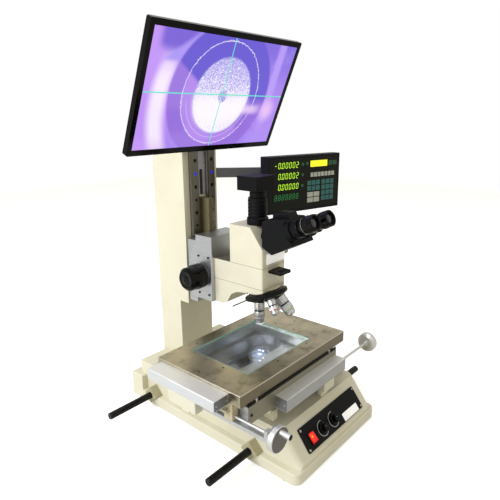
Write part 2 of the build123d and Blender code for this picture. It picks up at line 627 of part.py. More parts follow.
# Eyepieces: prism block on the slanted front, two swinging tubes, two eyepieces
# Side outlines of the prism block and of the ridge on its top, as (y, z)
PRISM_SIDE = [(-74, 474), (-74, 420), (-99, 407), (-160, 438), (-140, 484), (-84, 480)]
RIDGE_SIDE = [(-84, 470), (-84, 486), (-96, 494), (-118, 496), (-150, 484), (-150, 470)]
RIDGE_WIDTH = 30
DOVETAIL_R = 24
tube_frame = Pos(0, EYEPIECE_END_Y, EYEPIECE_END_Z) * Rot(90 - EYEPIECE_TILT, 0, 0)
half_pupil = PUPIL_DISTANCE / 2


def along_tube(x, back):
    """Frame of the eyepiece axes: Z towards the eye, back mm behind the eyepieces' ends."""
    return tube_frame * Pos(x, 0, -back)


swing_front = EYEPIECE_LENGTH + TUBE_LENGTH
swing_back = swing_front + SWING_PLATE
prism_face = swing_back + SLIDE_GAP
prism = side_profile(PRISM_SIDE, half_head - 2)
prism = fillet(prism.edges().filter_by(Axis.X), 5)
ridge = side_profile(RIDGE_SIDE, RIDGE_WIDTH / 2)
prism += fillet(ridge.edges().filter_by(Plane.YZ).group_by(Axis.Z)[-1], 6)
ahead = along_tube(0, prism_face - HEAD_WIDTH) * Box(3 * HEAD_WIDTH, 3 * HEAD_WIDTH, 2 * HEAD_WIDTH)
prism -= ahead
slant_angle = math.degrees(math.atan2(HEAD_TOP_Z - HEAD_SLANT_BOTTOM_Z,
                                      HEAD_SLANT_TOP_Y - HEAD_FRONT_Y))
slant_frame = Pos(0, (HEAD_SLANT_TOP_Y + HEAD_FRONT_Y) / 2, (HEAD_TOP_Z + HEAD_SLANT_BOTTOM_Z) / 2) \
    * Rot(slant_angle, 0, 0)
dovetail = slant_frame * Pos(0, 0, 15) * Cylinder(DOVETAIL_R, 30)
dovetail_room = box(-HEAD_WIDTH, HEAD_WIDTH, HEAD_FRONT_Y, OPTIC_Y - CAMERA_TUBE_R - 4,
                    SECTION_TOP_Z, CAMERA_BOTTOM_Z)
prism += dovetail & dovetail_room
prism += along_tube(0, prism_face - SWING_PLATE / 2) * Cylinder(SWING_PIVOT_R, SWING_PLATE + 4)
parts["prism_block"] = prism

for side, sx in (("left", -1), ("right", 1)):
    plate_mid = (swing_front + swing_back) / 2
    half_plate = SWING_PLATE / 2 - SLIDE_GAP / 2
    level = plate_mid + sx * SWING_PLATE / 4
    hub = along_tube(0, level) * Cylinder(SWING_PIVOT_R + 7, half_plate)
    web = along_tube(sx * half_pupil / 2, level) * Box(half_pupil, 2 * SWING_PIVOT_R + 14,
                                                       half_plate)
    lobe = along_tube(sx * half_pupil, plate_mid) * Cylinder(TUBE_R + 3, SWING_PLATE)
    other = along_tube(-sx * half_pupil, plate_mid) * Cylinder(TUBE_R + 4, SWING_PLATE + 1)
    middle = along_tube(0, level - sx * SWING_PLATE / 2) \
        * Cylinder(SWING_PIVOT_R + 8, half_plate + 2 * SLIDE_GAP)
    tube = along_tube(sx * half_pupil, EYEPIECE_LENGTH + TUBE_LENGTH / 2) \
        * Cylinder(TUBE_R, TUBE_LENGTH)
    body = (lobe - middle) + (hub + web - other) + tube
    body -= along_tube(0, plate_mid) * Cylinder(SWING_PIVOT_R + SHAFT_GAP, 3 * SWING_PLATE)
    body -= along_tube(sx * half_pupil, EYEPIECE_LENGTH) \
        * Cylinder(BARREL_R + SHAFT_GAP, 2 * (BARREL_LENGTH + 1))
    parts["eye_tube_" + side] = body
    eye = Pos(0, 0, -EYEPIECE_LENGTH) * turned(
        [(0, -BARREL_LENGTH), (BARREL_R, -BARREL_LENGTH), (BARREL_R, SLIDE_GAP),
         (EYEPIECE_R - 1, SLIDE_GAP), (EYEPIECE_R - 1, 12),
         (EYEPIECE_R, 13), (EYEPIECE_R, 22), (EYEPIECE_R - 0.5, EYEPIECE_LENGTH - 1),
         (EYEPIECE_R - 2, EYEPIECE_LENGTH), (EYEPIECE_R - 4, EYEPIECE_LENGTH),
         (EYEPIECE_R - 6, EYEPIECE_LENGTH - 6), (0, EYEPIECE_LENGTH - 6)])
    parts["eyepiece_" + side] = along_tube(sx * half_pupil, 0) * eye

# Camera on its tube
tube_z = HEAD_TOP_Z
tube = Pos(0, CAMERA_TUBE_Y, tube_z) * turned(
    [(0, 0), (CAMERA_TUBE_R + 3, 0), (CAMERA_TUBE_R + 3, 14), (CAMERA_TUBE_R, 17),
     (CAMERA_TUBE_R, CAMERA_BOTTOM_Z - tube_z - 16), (CAMERA_TUBE_R - 3, CAMERA_BOTTOM_Z - tube_z - 15),
     (CAMERA_TUBE_R - 3, CAMERA_BOTTOM_Z - tube_z - 5), (15, CAMERA_BOTTOM_Z - tube_z - 5),
     (15, CAMERA_BOTTOM_Z - tube_z + 4), (0, CAMERA_BOTTOM_Z - tube_z + 4)])
parts["camera_tube"] = tube
camera = box(-CAMERA_WIDTH / 2, CAMERA_WIDTH / 2, CAMERA_TUBE_Y + 4 - CAMERA_DEPTH / 2,
             CAMERA_TUBE_Y + 4 + CAMERA_DEPTH / 2, CAMERA_BOTTOM_Z,
             CAMERA_BOTTOM_Z + CAMERA_HEIGHT)
camera = fillet(upright_edges(camera), 2)
camera -= rod_along("Z", (0, CAMERA_TUBE_Y, CAMERA_BOTTOM_Z), 15 + SHAFT_GAP, 9)
parts["camera"] = camera

# Stage bed and the light tube under the glass
bed_y0 = STAGE_Y - BED_DEPTH / 2
bed_y1 = STAGE_Y + BED_DEPTH / 2
bed = box(-BED_WIDTH / 2, BED_WIDTH / 2, bed_y0, bed_y1, BODY_TOP, BED_TOP_Z)
for sy in (-1, 1):
    y = STAGE_Y + sy * (BED_DEPTH / 2 - WAY_WIDTH / 2 - 6)
    bed += box(-BED_WIDTH / 2, BED_WIDTH / 2, y - WAY_WIDTH / 2, y + WAY_WIDTH / 2, BED_TOP_Z,
               BED_TOP_Z + WAY_HEIGHT)
bed -= rod_along("Z", (0, OPTIC_Y, BED_TOP_Z), WELL_R, 2 * WELL_DEPTH)
bed -= rod_along("Z", (0, OPTIC_Y, BED_TOP_Z), LIGHT_TUBE_R, 4 * (BED_TOP_Z - BODY_TOP))
parts["stage_bed"] = bed
light_tube = Pos(0, OPTIC_Y, 0) * turned(
    [(0, BODY_TOP), (LIGHT_TUBE_R, BODY_TOP), (LIGHT_TUBE_R, LIGHT_TOP_Z - 3),
     (LIGHT_TUBE_R - 3, LIGHT_TOP_Z), (LIGHT_TUBE_R - 6, LIGHT_TOP_Z),
     (LIGHT_TUBE_R - 8, LIGHT_TOP_Z - 4), (0, LIGHT_TOP_Z - 2)])
parts["light_tube"] = light_tube

# X carriage
xcar_bottom = BED_TOP_Z + WAY_HEIGHT + SLIDE_GAP
xcar_x0 = XCAR_X - XCAR_WIDTH / 2
xcar_x1 = XCAR_X + XCAR_WIDTH / 2
xcar_y0 = XCAR_FRONT_Y
xcar_y1 = XCAR_BACK_Y
xcar = box(xcar_x0, xcar_x1, xcar_y0, xcar_y1, xcar_bottom, XCAR_TOP_Z)
plate_bottom = WORK_HEIGHT - PLATE_THICK
for sx in (-1, 1):
    x = XCAR_X + sx * (XCAR_WIDTH / 2 - WAY_WIDTH / 2 - 14)
    xcar += box(x - WAY_WIDTH / 2, x + WAY_WIDTH / 2, xcar_y0 + 2, xcar_y1 - 2, XCAR_TOP_Z,
                plate_bottom - SLIDE_GAP)
slot = extrude(Pos(XCAR_X, STAGE_Y) * SlotOverall(BEAM_SLOT_LENGTH, BEAM_SLOT_WIDTH), 300)
xcar -= slot
nut_width = 20
x_nut = box(XCAR_X - nut_width / 2, XCAR_X + nut_width / 2, xcar_y0, bed_y0 - 2,
            X_ROD_Z - 9, xcar_bottom)
x_nut -= rod_along("X", (XCAR_X, X_ROD_Y, X_ROD_Z), ROD_R + SHAFT_GAP, 60)
xcar += x_nut
parts["x_carriage"] = xcar

# X rod: bearings on the base, handwheel at the right
BEARING_X = (-135, 124)
BEARING_TOP = BED_TOP_Z - 1
BEARING_LENGTH = 13
bearings = []
for x in BEARING_X:
    bearing = box(x - BEARING_LENGTH / 2, x + BEARING_LENGTH / 2, X_ROD_Y - 11, bed_y0,
                  BEARING_TOP - 22, BEARING_TOP)
    bearing -= rod_along("X", (x, X_ROD_Y, X_ROD_Z), ROD_R + SHAFT_GAP, 40)
    bearings.append(bearing)
parts["x_bearings"] = Compound(bearings)


def handwheel(rod_length):
    """Handwheel about Z: dished face outwards at z = 0, domed back, crank pin, rod behind."""
    wheel = turned([(0, 0), (WHEEL_R - 1, 0), (WHEEL_R, -1), (WHEEL_R, -WHEEL_THICK * 0.55),
                    (WHEEL_R - 2, -WHEEL_THICK * 0.78), (WHEEL_R - 7, -WHEEL_THICK * 0.93),
                    (WHEEL_HUB_R, -WHEEL_THICK), (0, -WHEEL_THICK)])
    crank = Pos(0, CRANK_OFFSET, CRANK_LENGTH / 2) * Cylinder(CRANK_R, CRANK_LENGTH)
    crank = fillet(crank.edges().group_by(Axis.Z)[-1], 1.2)
    rod = Pos(0, 0, -WHEEL_THICK - rod_length / 2) * Cylinder(ROD_R, rod_length)
    return wheel + crank + rod


X_WHEEL_FACE = 264
Y_WHEEL_FACE = -268
x_rod_length = X_WHEEL_FACE - WHEEL_THICK - (BEARING_X[0] - BEARING_LENGTH / 2)
parts["x_handwheel"] = Pos(X_WHEEL_FACE, X_ROD_Y, X_ROD_Z) * Rot(0, 90, 0) \
    * handwheel(x_rod_length)

# Y rod: arm and bearings on the X carriage, handwheel in front
ARM_TOP = xcar_bottom + 8
ARM_BACK_Y = -54
arm_front_y = Y_WHEEL_FACE + WHEEL_THICK + 6
Y_BEARING_LENGTH = 8
y_arm_left = Y_ROD_X - 6
y_arm = box(y_arm_left, xcar_x0, arm_front_y, ARM_BACK_Y, xcar_bottom, ARM_TOP)
for y in (arm_front_y, ARM_BACK_Y - Y_BEARING_LENGTH):
    post = box(y_arm_left, Y_ROD_X + 6, y, y + Y_BEARING_LENGTH, ARM_TOP, Y_ROD_Z + 7)
    y_arm += post
y_arm -= rod_along("Y", (Y_ROD_X, (arm_front_y + ARM_BACK_Y) / 2, Y_ROD_Z),
                   ROD_R + SHAFT_GAP, 300)
parts["y_drive_arm"] = y_arm
y_rod_length = ARM_BACK_Y + 3 - (Y_WHEEL_FACE + WHEEL_THICK)
parts["y_handwheel"] = Pos(Y_ROD_X, Y_WHEEL_FACE, Y_ROD_Z) * Rot(90, 0, 0) \
    * handwheel(y_rod_length)

# Y table: steel plate with the glass window, tapped holes and the friction nut below
plate_x0 = PLATE_X - PLATE_WIDTH / 2
plate_x1 = PLATE_X + PLATE_WIDTH / 2
plate_y0 = PLATE_Y - PLATE_DEPTH / 2
plate_y1 = PLATE_Y + PLATE_DEPTH / 2
plate = box(plate_x0, plate_x1, plate_y0, plate_y1, plate_bottom, WORK_HEIGHT)
plate = fillet(upright_edges(plate), 2)
plate = chamfer(plate.edges().group_by(Axis.Z)[-1], 1)
plate -= Pos(GLASS_X, GLASS_Y, WORK_HEIGHT) * Box(GLASS_WIDTH - 2 * GLASS_LEDGE,
                                                  GLASS_DEPTH - 2 * GLASS_LEDGE, 3 * PLATE_THICK)
glass_bed = GLASS_THICK + 0.6
plate -= Pos(GLASS_X, GLASS_Y, WORK_HEIGHT) * Box(GLASS_WIDTH + SEAT_GAP, GLASS_DEPTH + SEAT_GAP,
                                                  2 * glass_bed)
TAP_ALONG = (-74, -23, 26, 78)      # taps before and behind the glass, from its middle
TAP_FRONT = 10                      # tap rows outside the glass
TAP_REAR = 16
SIDE_TAPS = ((-11, -23), (-11, 26), (15, -26), (15, 27), (55, 1), (-53, 2))
tap_y = (GLASS_Y - GLASS_DEPTH / 2 - TAP_FRONT, GLASS_Y + GLASS_DEPTH / 2 + TAP_REAR)
taps = [(GLASS_X + x, y) for x in TAP_ALONG for y in tap_y]
for out, y in SIDE_TAPS:
    taps.append((GLASS_X + math.copysign(GLASS_WIDTH / 2, out) + out, GLASS_Y + y))
for x, y in taps:
    plate -= rod_along("Z", (x, y, WORK_HEIGHT), STAGE_TAP_R, 2 * STAGE_TAP_DEPTH)
parts["y_table"] = plate
parts["stage_glass"] = Pos(GLASS_X, GLASS_Y, WORK_HEIGHT - glass_bed + GLASS_THICK / 2) \
    * Box(GLASS_WIDTH, GLASS_DEPTH, GLASS_THICK)

NUT_LENGTH = 20
NUT_INSET = 30          # middle of the nut behind the plate's front edge
nut_y = plate_y0 + NUT_INSET
y_nut = box(Y_ROD_X - 8, Y_ROD_X + 8, nut_y - NUT_LENGTH / 2, nut_y + NUT_LENGTH / 2,
            ARM_TOP + 0.6, plate_bottom)
y_nut -= rod_along("Y", (Y_ROD_X, nut_y, Y_ROD_Z), ROD_R + SHAFT_GAP, 3 * NUT_LENGTH)
parts["y_drive_nut"] = y_nut

# Scale covers and reading heads
SCALE_END = 4
y_scale_top = WORK_HEIGHT - 5
y_scale_y0 = -155.5
scale_y1 = y_scale_y0 + Y_SCALE_LENGTH
y_scale = box(plate_x0 - Y_SCALE_WIDTH, plate_x0, y_scale_y0, scale_y1,
              y_scale_top - Y_SCALE_HEIGHT, y_scale_top)
y_scale = chamfer(y_scale.edges().filter_by(Axis.Y).group_by(Axis.X)[0], 1)
y_scale -= box(plate_x0 - 24, plate_x0 - 14, y_scale_y0 + SCALE_END, scale_y1 - SCALE_END,
               y_scale_top - Y_SCALE_HEIGHT - 1, y_scale_top - 5)
parts["y_scale_cover"] = y_scale
HEAD_GAP = 1.5
y_head_x0 = plate_x0 - 29
head_top = y_scale_top - Y_SCALE_HEIGHT - HEAD_GAP
y_head = box(y_head_x0, y_head_x0 + 20, -98, -22, ARM_TOP, head_top)
y_head = fillet(y_head.edges().filter_by(Axis.Z), 2)
y_head += box(y_head_x0 + 4, y_arm_left, -76, -56, xcar_bottom, ARM_TOP)
parts["y_reading_head"] = y_head

X_SCALE_X0 = -134
x_scale_top = 165
x_scale_y1 = xcar_y0
x_scale = box(X_SCALE_X0, X_SCALE_X0 + X_SCALE_LENGTH, x_scale_y1 - X_SCALE_DEPTH, x_scale_y1,
              x_scale_top - X_SCALE_HEIGHT, x_scale_top)
x_scale = chamfer(x_scale.edges().filter_by(Axis.X).group_by(Axis.Y)[0], 1)
x_scale -= box(X_SCALE_X0 + SCALE_END, X_SCALE_X0 + X_SCALE_LENGTH - SCALE_END,
               x_scale_y1 - 20, x_scale_y1 - 12, x_scale_top - X_SCALE_HEIGHT - 1,
               x_scale_top - 5)
parts["x_scale_cover"] = x_scale
x_head_top = x_scale_top - X_SCALE_HEIGHT - HEAD_GAP
x_head = box(0, 40, x_scale_y1 - X_SCALE_DEPTH + 2, x_scale_y1 - 4, x_head_top - 20, x_head_top)
x_head = fillet(x_head.edges().filter_by(Axis.Z), 2)
x_head += box(8, 32, x_scale_y1 - 14, x_scale_y1 - 4, BODY_TOP, x_head_top - 20)
parts["x_reading_head"] = x_head

# Release lever of the Y friction nut, on the nut's left face
lever = rod_along("X", (Y_ROD_X - 8 - 4, nut_y, Y_ROD_Z + 12), 4, 8 - 2 * SHAFT_GAP)
lever += box(Y_ROD_X - 15, Y_ROD_X - 12, nut_y - 3, nut_y + 34, Y_ROD_Z + 9.5, Y_ROD_Z + 14.5)
parts["release_lever"] = lever

# Readout box on its arm
readout_frame = Pos(READOUT_X, READOUT_Y, READOUT_Z) * Rot(0, 0, READOUT_YAW)
case = Box(READOUT_WIDTH, READOUT_DEPTH, READOUT_HEIGHT)
case = fillet(case.edges().filter_by(Axis.Z), 6)
case = Pos(0, READOUT_DEPTH / 2, 0) * case
case -= Box(READOUT_WIDTH - 10, 3, READOUT_HEIGHT - 10)
hinge_y = READOUT_DEPTH + 14
lug_z = READOUT_ARM_Z - READOUT_Z
post_r = 7
lugs = Pos(0, READOUT_DEPTH + 2, lug_z) * Box(34, 4, 50)
for dz in (-1, 1):
    z = lug_z + dz * (READOUT_ARM_HEIGHT / 2 + 5)
    lugs += Pos(0, READOUT_DEPTH + 8, z) * Box(2 * post_r, 16, 8)
    lugs += Pos(0, hinge_y, z) * Cylinder(post_r, 8)
lugs += Pos(0, hinge_y, lug_z) * Cylinder(3, READOUT_ARM_HEIGHT + 18)
case += lugs
parts["readout_case"] = readout_frame * case

hinge_point = (readout_frame * Pos(0, hinge_y, 0)).position
reach_x = hinge_point.X - READOUT_POST_X
reach_y = hinge_point.Y - READOUT_POST_Y
arm_length = math.hypot(reach_x, reach_y)
arm_angle = math.degrees(math.atan2(reach_y, reach_x))
arm_frame = Pos(READOUT_POST_X, READOUT_POST_Y, READOUT_ARM_Z) * Rot(0, 0, arm_angle)
bar = Pos(arm_length / 2, 0, 0) * Box(arm_length, READOUT_ARM_THICK, READOUT_ARM_HEIGHT)
bar += Cylinder(post_r, READOUT_ARM_HEIGHT) + Pos(arm_length, 0, 0) * Cylinder(post_r,
                                                                             READOUT_ARM_HEIGHT)
bar -= Cylinder(3 + SHAFT_GAP, 60)
bar -= Pos(arm_length, 0, 0) * Cylinder(3 + SHAFT_GAP, 60)
parts["readout_arm"] = arm_frame * bar

bracket = box(half_col, half_col + 4, READOUT_POST_Y - 20, READOUT_POST_Y + 20,
              READOUT_ARM_Z - 26, READOUT_ARM_Z + 26)
for dz in (-1, 1):
    z = READOUT_ARM_Z + dz * (READOUT_ARM_HEIGHT / 2 + 5)
    bracket += box(half_col, READOUT_POST_X, READOUT_POST_Y - post_r, READOUT_POST_Y + post_r,
                   z - 4, z + 4)
    bracket += rod_along("Z", (READOUT_POST_X, READOUT_POST_Y, z), post_r, 8)
bracket += rod_along("Z", (READOUT_POST_X, READOUT_POST_Y, READOUT_ARM_Z), 3,
                     READOUT_ARM_HEIGHT + 18)
parts["readout_bracket"] = bracket

# Monitor on a tilting bracket at the column's top
monitor_frame = Pos(0, MONITOR_Y, MONITOR_Z) * Rot(MONITOR_TILT, 0, 0)
slab = Pos(0, MONITOR_THICK / 2, 0) * Box(MONITOR_WIDTH, MONITOR_THICK, MONITOR_HEIGHT)
slab = fillet(slab.edges().filter_by(Axis.Y), 4)
slab -= Box(MONITOR_WIDTH - 2 * BEZEL, 3, MONITOR_HEIGHT - 2 * BEZEL - 2)
hump = Pos(0, MONITOR_THICK + MONITOR_HUMP / 2, 0) \
    * Box(MONITOR_WIDTH * 0.62, MONITOR_HUMP, MONITOR_HEIGHT * 0.5)
hump = chamfer(hump.edges().group_by(Axis.Y)[-1], MONITOR_HUMP - 3)
TILT_R = 8
lug_y = MONITOR_THICK + MONITOR_HUMP + 4
TILT_Y = lug_y + 14
hump += Pos(0, lug_y - 2, 0) * Box(100, 4, 100)
for sx in (-1, 1):
    hump += Pos(sx * 24, (lug_y - 1 + TILT_Y) / 2, 0) * Box(8, TILT_Y - lug_y + 1, 2 * TILT_R)
    hump += Pos(sx * 24, TILT_Y, 0) * Rot(0, 90, 0) * Cylinder(TILT_R, 8)
hump += Pos(0, TILT_Y, 0) * Rot(0, 90, 0) * Cylinder(4, 60)
parts["monitor"] = monitor_frame * (slab + hump)

tilt_point = (monitor_frame * Pos(0, TILT_Y, 0)).position
mast_y0 = 178
mast = box(-30, 30, mast_y0, mast_y0 + 50, COLUMN_TOP_Z, COLUMN_TOP_Z + 8)
mast += box(-16, 16, mast_y0 + 8, mast_y0 + 28, COLUMN_TOP_Z, tilt_point.Z + 10)
mast += box(-16, 16, tilt_point.Y, mast_y0 + 10, tilt_point.Z - TILT_R, tilt_point.Z + TILT_R)
mast += rod_along("X", (0, tilt_point.Y, tilt_point.Z), TILT_R, 32)
mast -= rod_along("X", (0, tilt_point.Y, tilt_point.Z), 4 + SHAFT_GAP, 80)
parts["monitor_mast"] = mast
parts["column_casting"] = column

for name, shape in parts.items():
    export_step(shape, os.path.join(OUT, name + ".step"))
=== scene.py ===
import math
import bmesh
import bpy
from mathutils import Matrix, Vector


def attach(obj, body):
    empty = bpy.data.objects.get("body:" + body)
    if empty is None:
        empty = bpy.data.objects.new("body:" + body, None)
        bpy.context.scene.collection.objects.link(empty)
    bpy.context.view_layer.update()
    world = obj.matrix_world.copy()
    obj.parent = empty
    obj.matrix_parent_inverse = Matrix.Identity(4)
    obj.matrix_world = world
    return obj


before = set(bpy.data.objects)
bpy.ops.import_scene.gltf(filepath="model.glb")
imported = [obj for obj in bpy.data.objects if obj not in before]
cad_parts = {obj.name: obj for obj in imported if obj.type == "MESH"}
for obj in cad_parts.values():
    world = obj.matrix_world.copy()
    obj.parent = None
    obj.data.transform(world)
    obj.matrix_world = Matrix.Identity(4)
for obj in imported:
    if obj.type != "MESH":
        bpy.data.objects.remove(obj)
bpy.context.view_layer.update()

# Studio and camera. The instrument stands on a white sweep under large soft lamps.
# The brighter lamp is on its left, so the front faces fall into a soft grey-green shade.
scene = bpy.context.scene
scene.view_settings.view_transform = "Standard"
CAMERA_PLACE = (-0.78514, -0.69234, 0.68373)
CAMERA_TURN = (-48.921, 74.488, -0.509)
CAMERA_LENS = 34.885
LAMPS = (("key_lamp", (-2.6, 0.5, 1.7), (0, 0, 0.3), 1.6, 70, "#f6f9ff"),
         ("fill_lamp", (0.6, -2.6, 1.9), (0, 0, 0.35), 2.0, 4, "#ffeecb"),
         ("top_lamp", (0.3, 0.2, 2.6), (0, 0, 0.2), 1.8, 18, "#ffffff"))


def linear(hex_colour):
    """sRGB hex, as #rrggbb, to the linear colour that Blender's sockets take."""
    values = [int(hex_colour[i:i + 2], 16) / 255 for i in (1, 3, 5)]
    return tuple(v / 12.92 if v <= 0.04045 else ((v + 0.055) / 1.055) ** 2.4
                 for v in values) + (1.0,)


def add_node(tree, kind, links=None, **settings):
    """Adds one node; links names its sockets, each given a value or another node's output."""
    made = tree.nodes.new(kind)
    for name, value in settings.items():
        setattr(made, name, value)
    for name, value in (links or {}).items():
        if isinstance(value, bpy.types.NodeSocket):
            tree.links.new(value, made.inputs[name])
        else:
            made.inputs[name].default_value = value
    return made


camera_data = bpy.data.cameras.new("camera")
camera_data.lens = CAMERA_LENS
camera_data.clip_start = 0.01
camera = bpy.data.objects.new("camera", camera_data)
azimuth, tilt, roll = (math.radians(a) for a in CAMERA_TURN)
camera.matrix_world = (Matrix.Translation(CAMERA_PLACE) @ Matrix.Rotation(azimuth, 4, "Z")
                       @ Matrix.Rotation(tilt, 4, "X") @ Matrix.Rotation(roll, 4, "Z"))
scene.collection.objects.link(camera)
scene.camera = camera

for name, place, target, size, watts, hex_colour in LAMPS:
    data = bpy.data.lights.new(name, "AREA")
    data.size = size
    data.energy = watts
    data.color = linear(hex_colour)[:3]
    lamp = bpy.data.objects.new(name, data)
    facing = (Vector(target) - Vector(place)).to_track_quat("-Z", "Y")
    lamp.matrix_world = Matrix.Translation(place) @ facing.to_matrix().to_4x4()
    scene.collection.objects.link(lamp)

# The world is a warm dim grey as a light, half as bright again in mirrors, and white to the eye.
world = bpy.data.worlds.new("studio_world")
scene.world = world
world.use_nodes = True
tree = world.node_tree
tree.nodes.clear()
rays = add_node(tree, "ShaderNodeLightPath")
mirrored = add_node(tree, "ShaderNodeMath", {0: rays.outputs["Is Glossy Ray"], 1: 0.5},
                    operation="MULTIPLY")
seen = add_node(tree, "ShaderNodeMath", {0: rays.outputs["Is Camera Ray"],
                                         1: mirrored.outputs[0]}, operation="MAXIMUM")
seen = add_node(tree, "ShaderNodeMath", {0: seen.outputs[0],
                                         1: rays.outputs["Is Transmission Ray"]},
                operation="MAXIMUM")
level = add_node(tree, "ShaderNodeMapRange", {"Value": seen.outputs[0], "To Min": 0.48,
                                              "To Max": 1.0})
tint = add_node(tree, "ShaderNodeMix", {0: seen.outputs[0], 6: linear("#fffaea"),
                                        7: (1, 1, 1, 1)}, data_type="RGBA")
sky = add_node(tree, "ShaderNodeBackground", {"Color": tint.outputs[2],
                                              "Strength": level.outputs[0]})
add_node(tree, "ShaderNodeOutputWorld", {"Surface": sky.outputs[0]})

bpy.ops.object.select_all(action="DESELECT")
bpy.ops.mesh.primitive_plane_add(size=8, location=(0, 0, 0))
floor = bpy.context.object
floor.name = "floor"
paper = bpy.data.materials.new("white_paper_sweep")
paper.use_nodes = True
tree = paper.node_tree
tree.nodes.clear()
matt = add_node(tree, "ShaderNodeBsdfDiffuse", {"Color": linear("#f2f2f0")})
bright = add_node(tree, "ShaderNodeEmission", {"Color": (1, 1, 1, 1), "Strength": 0.55})
both = add_node(tree, "ShaderNodeAddShader", {0: matt.outputs[0], 1: bright.outputs[0]})
rays = add_node(tree, "ShaderNodeLightPath")
mixed = add_node(tree, "ShaderNodeMixShader", {0: rays.outputs["Is Camera Ray"],
                                               1: matt.outputs[0], 2: both.outputs[0]})
add_node(tree, "ShaderNodeOutputMaterial", {"Surface": mixed.outputs[0]})
floor.data.materials.append(paper)


# Base casting: a hollow grey-iron casting, filled, rubbed down and stoved with cream enamel.
# The paint film gives soft gloss with a faint orange peel and a cloudy, slightly uneven cream.
MM = 0.001


def smooth_finish(name, hex_colour, roughness, **inputs):
    """Principled material with its plain values set; returns it with its tree and shader."""
    made = bpy.data.materials.new(name)
    made.use_nodes = True
    made.node_tree.nodes.clear()
    shader = add_node(made.node_tree, "ShaderNodeBsdfPrincipled",
                      {"Base Color": linear(hex_colour), "Roughness": roughness})
    for socket, value in inputs.items():
        shader.inputs[socket.replace("_", " ")].default_value = value
    add_node(made.node_tree, "ShaderNodeOutputMaterial", {"Surface": shader.outputs[0]})
    return made, made.node_tree, shader


def grained_finish(name, grain_mm, colours, rough, height_mm, stretch=(1, 1, 1), **inputs):
    """Finish with noise of one grain size, which varies colour and roughness and lifts a bump.
    Brush marks and grit finer than the render shows are drawn as coarse as they need to show."""
    made, tree, shader = smooth_finish(name, colours[0], rough[0], **inputs)
    place = add_node(tree, "ShaderNodeTexCoord")
    turn = add_node(tree, "ShaderNodeMapping", {"Vector": place.outputs["Object"],
                                                "Scale": stretch})
    noise = add_node(tree, "ShaderNodeTexNoise", {"Vector": turn.outputs[0],
                                                  "Scale": 1 / (grain_mm * MM), "Detail": 4.0})
    ramp = add_node(tree, "ShaderNodeValToRGB", {"Fac": noise.outputs["Fac"]})
    for stop, position, colour in zip(ramp.color_ramp.elements, (0.3, 0.7), colours):
        stop.position = position
        stop.color = linear(colour)
    tree.links.new(ramp.outputs[0], shader.inputs["Base Color"])
    spread = add_node(tree, "ShaderNodeMapRange", {"Value": noise.outputs["Fac"],
                                                   "To Min": rough[0], "To Max": rough[1]})
    tree.links.new(spread.outputs[0], shader.inputs["Roughness"])
    bump = add_node(tree, "ShaderNodeBump", {"Height": noise.outputs["Fac"], "Strength": 0.5,
                                             "Distance": height_mm * MM})
    tree.links.new(bump.outputs[0], shader.inputs["Normal"])
    return made, tree, shader


def lay_over(tree, shader, socket, mask, value):
    """Puts a colour or a number over what feeds a shader's socket, where a mask holds."""
    old = shader.inputs[socket]
    before = old.links[0].from_socket if old.links else None
    if socket.endswith("Color"):
        kind, first, second, out = "RGBA", 6, 7, 2
        before = before or tuple(old.default_value)
        value = linear(value)
    else:
        kind, first, second, out = "FLOAT", 2, 3, 0
        before = before or old.default_value
    mixed = add_node(tree, "ShaderNodeMix", {0: mask, first: before, second: value},
                     data_type=kind)
    tree.links.new(mixed.outputs[out], old)


def clouded(tree, shader, size_mm, tint, share, limits=(0.4, 0.75), detail=3.0, coarse=0.5):
    """Lays a soft cloud of a second tint over the colour, as oil, wear or filler leaves it."""
    place = add_node(tree, "ShaderNodeTexCoord")
    noise = add_node(tree, "ShaderNodeTexNoise", {"Vector": place.outputs["Object"],
                                                  "Scale": 1 / (size_mm * MM),
                                                  "Detail": detail, "Roughness": coarse})
    amount = add_node(tree, "ShaderNodeMapRange", {"Value": noise.outputs["Fac"],
                                                   "From Min": limits[0], "From Max": limits[1],
                                                   "To Max": share})
    lay_over(tree, shader, "Base Color", amount.outputs[0], tint)


def dress(finish, *names):
    """Gives CAD pieces a finish."""
    for name in names:
        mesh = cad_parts[name].data
        mesh.materials.clear()
        mesh.materials.append(finish)


def cream_enamel(name, cloud_mm):
    """Stoved cream enamel with clouds of one size."""
    made, tree, shader = grained_finish(name, 1.8, ("#dcd7bf", "#e3dfca"), (0.28, 0.4), 0.012)
    clouded(tree, shader, cloud_mm, "#d2ccb3", 0.4)
    return made, tree, shader


base_enamel, tree, shader = cream_enamel("cream_stoved_enamel", 70)
dress(base_enamel, "base_casting")


# Feet: four moulded nitrile rubber pads, each held by a screw from below.
# Rubber gives a dull black with a fine dusty grain.
rubber, tree, shader = grained_finish("moulded_black_rubber", 0.8, ("#0b0b0b", "#161615"),
                                      (0.65, 0.85), 0.05, Specular_IOR_Level=0.2)
dress(rubber, "rubber_feet")


# Power inlet: a moulded nylon socket with three nickel pins, let into the rear block.
# Two zinc-plated countersunk screws lie flush in its flange, their slots painted near black as
# painted shade; the nylon is an even satin black.
INLET_X, INLET_Z = 60, 36
PIN_FIELD, PIN_Y = ((-8.5, 8.5), (-3, 3)), (248.2, 256.4)
INLET_SCREW_OUT, INLET_SCREW_R, FLANGE_Y = 19, 2.6, (258, 259)


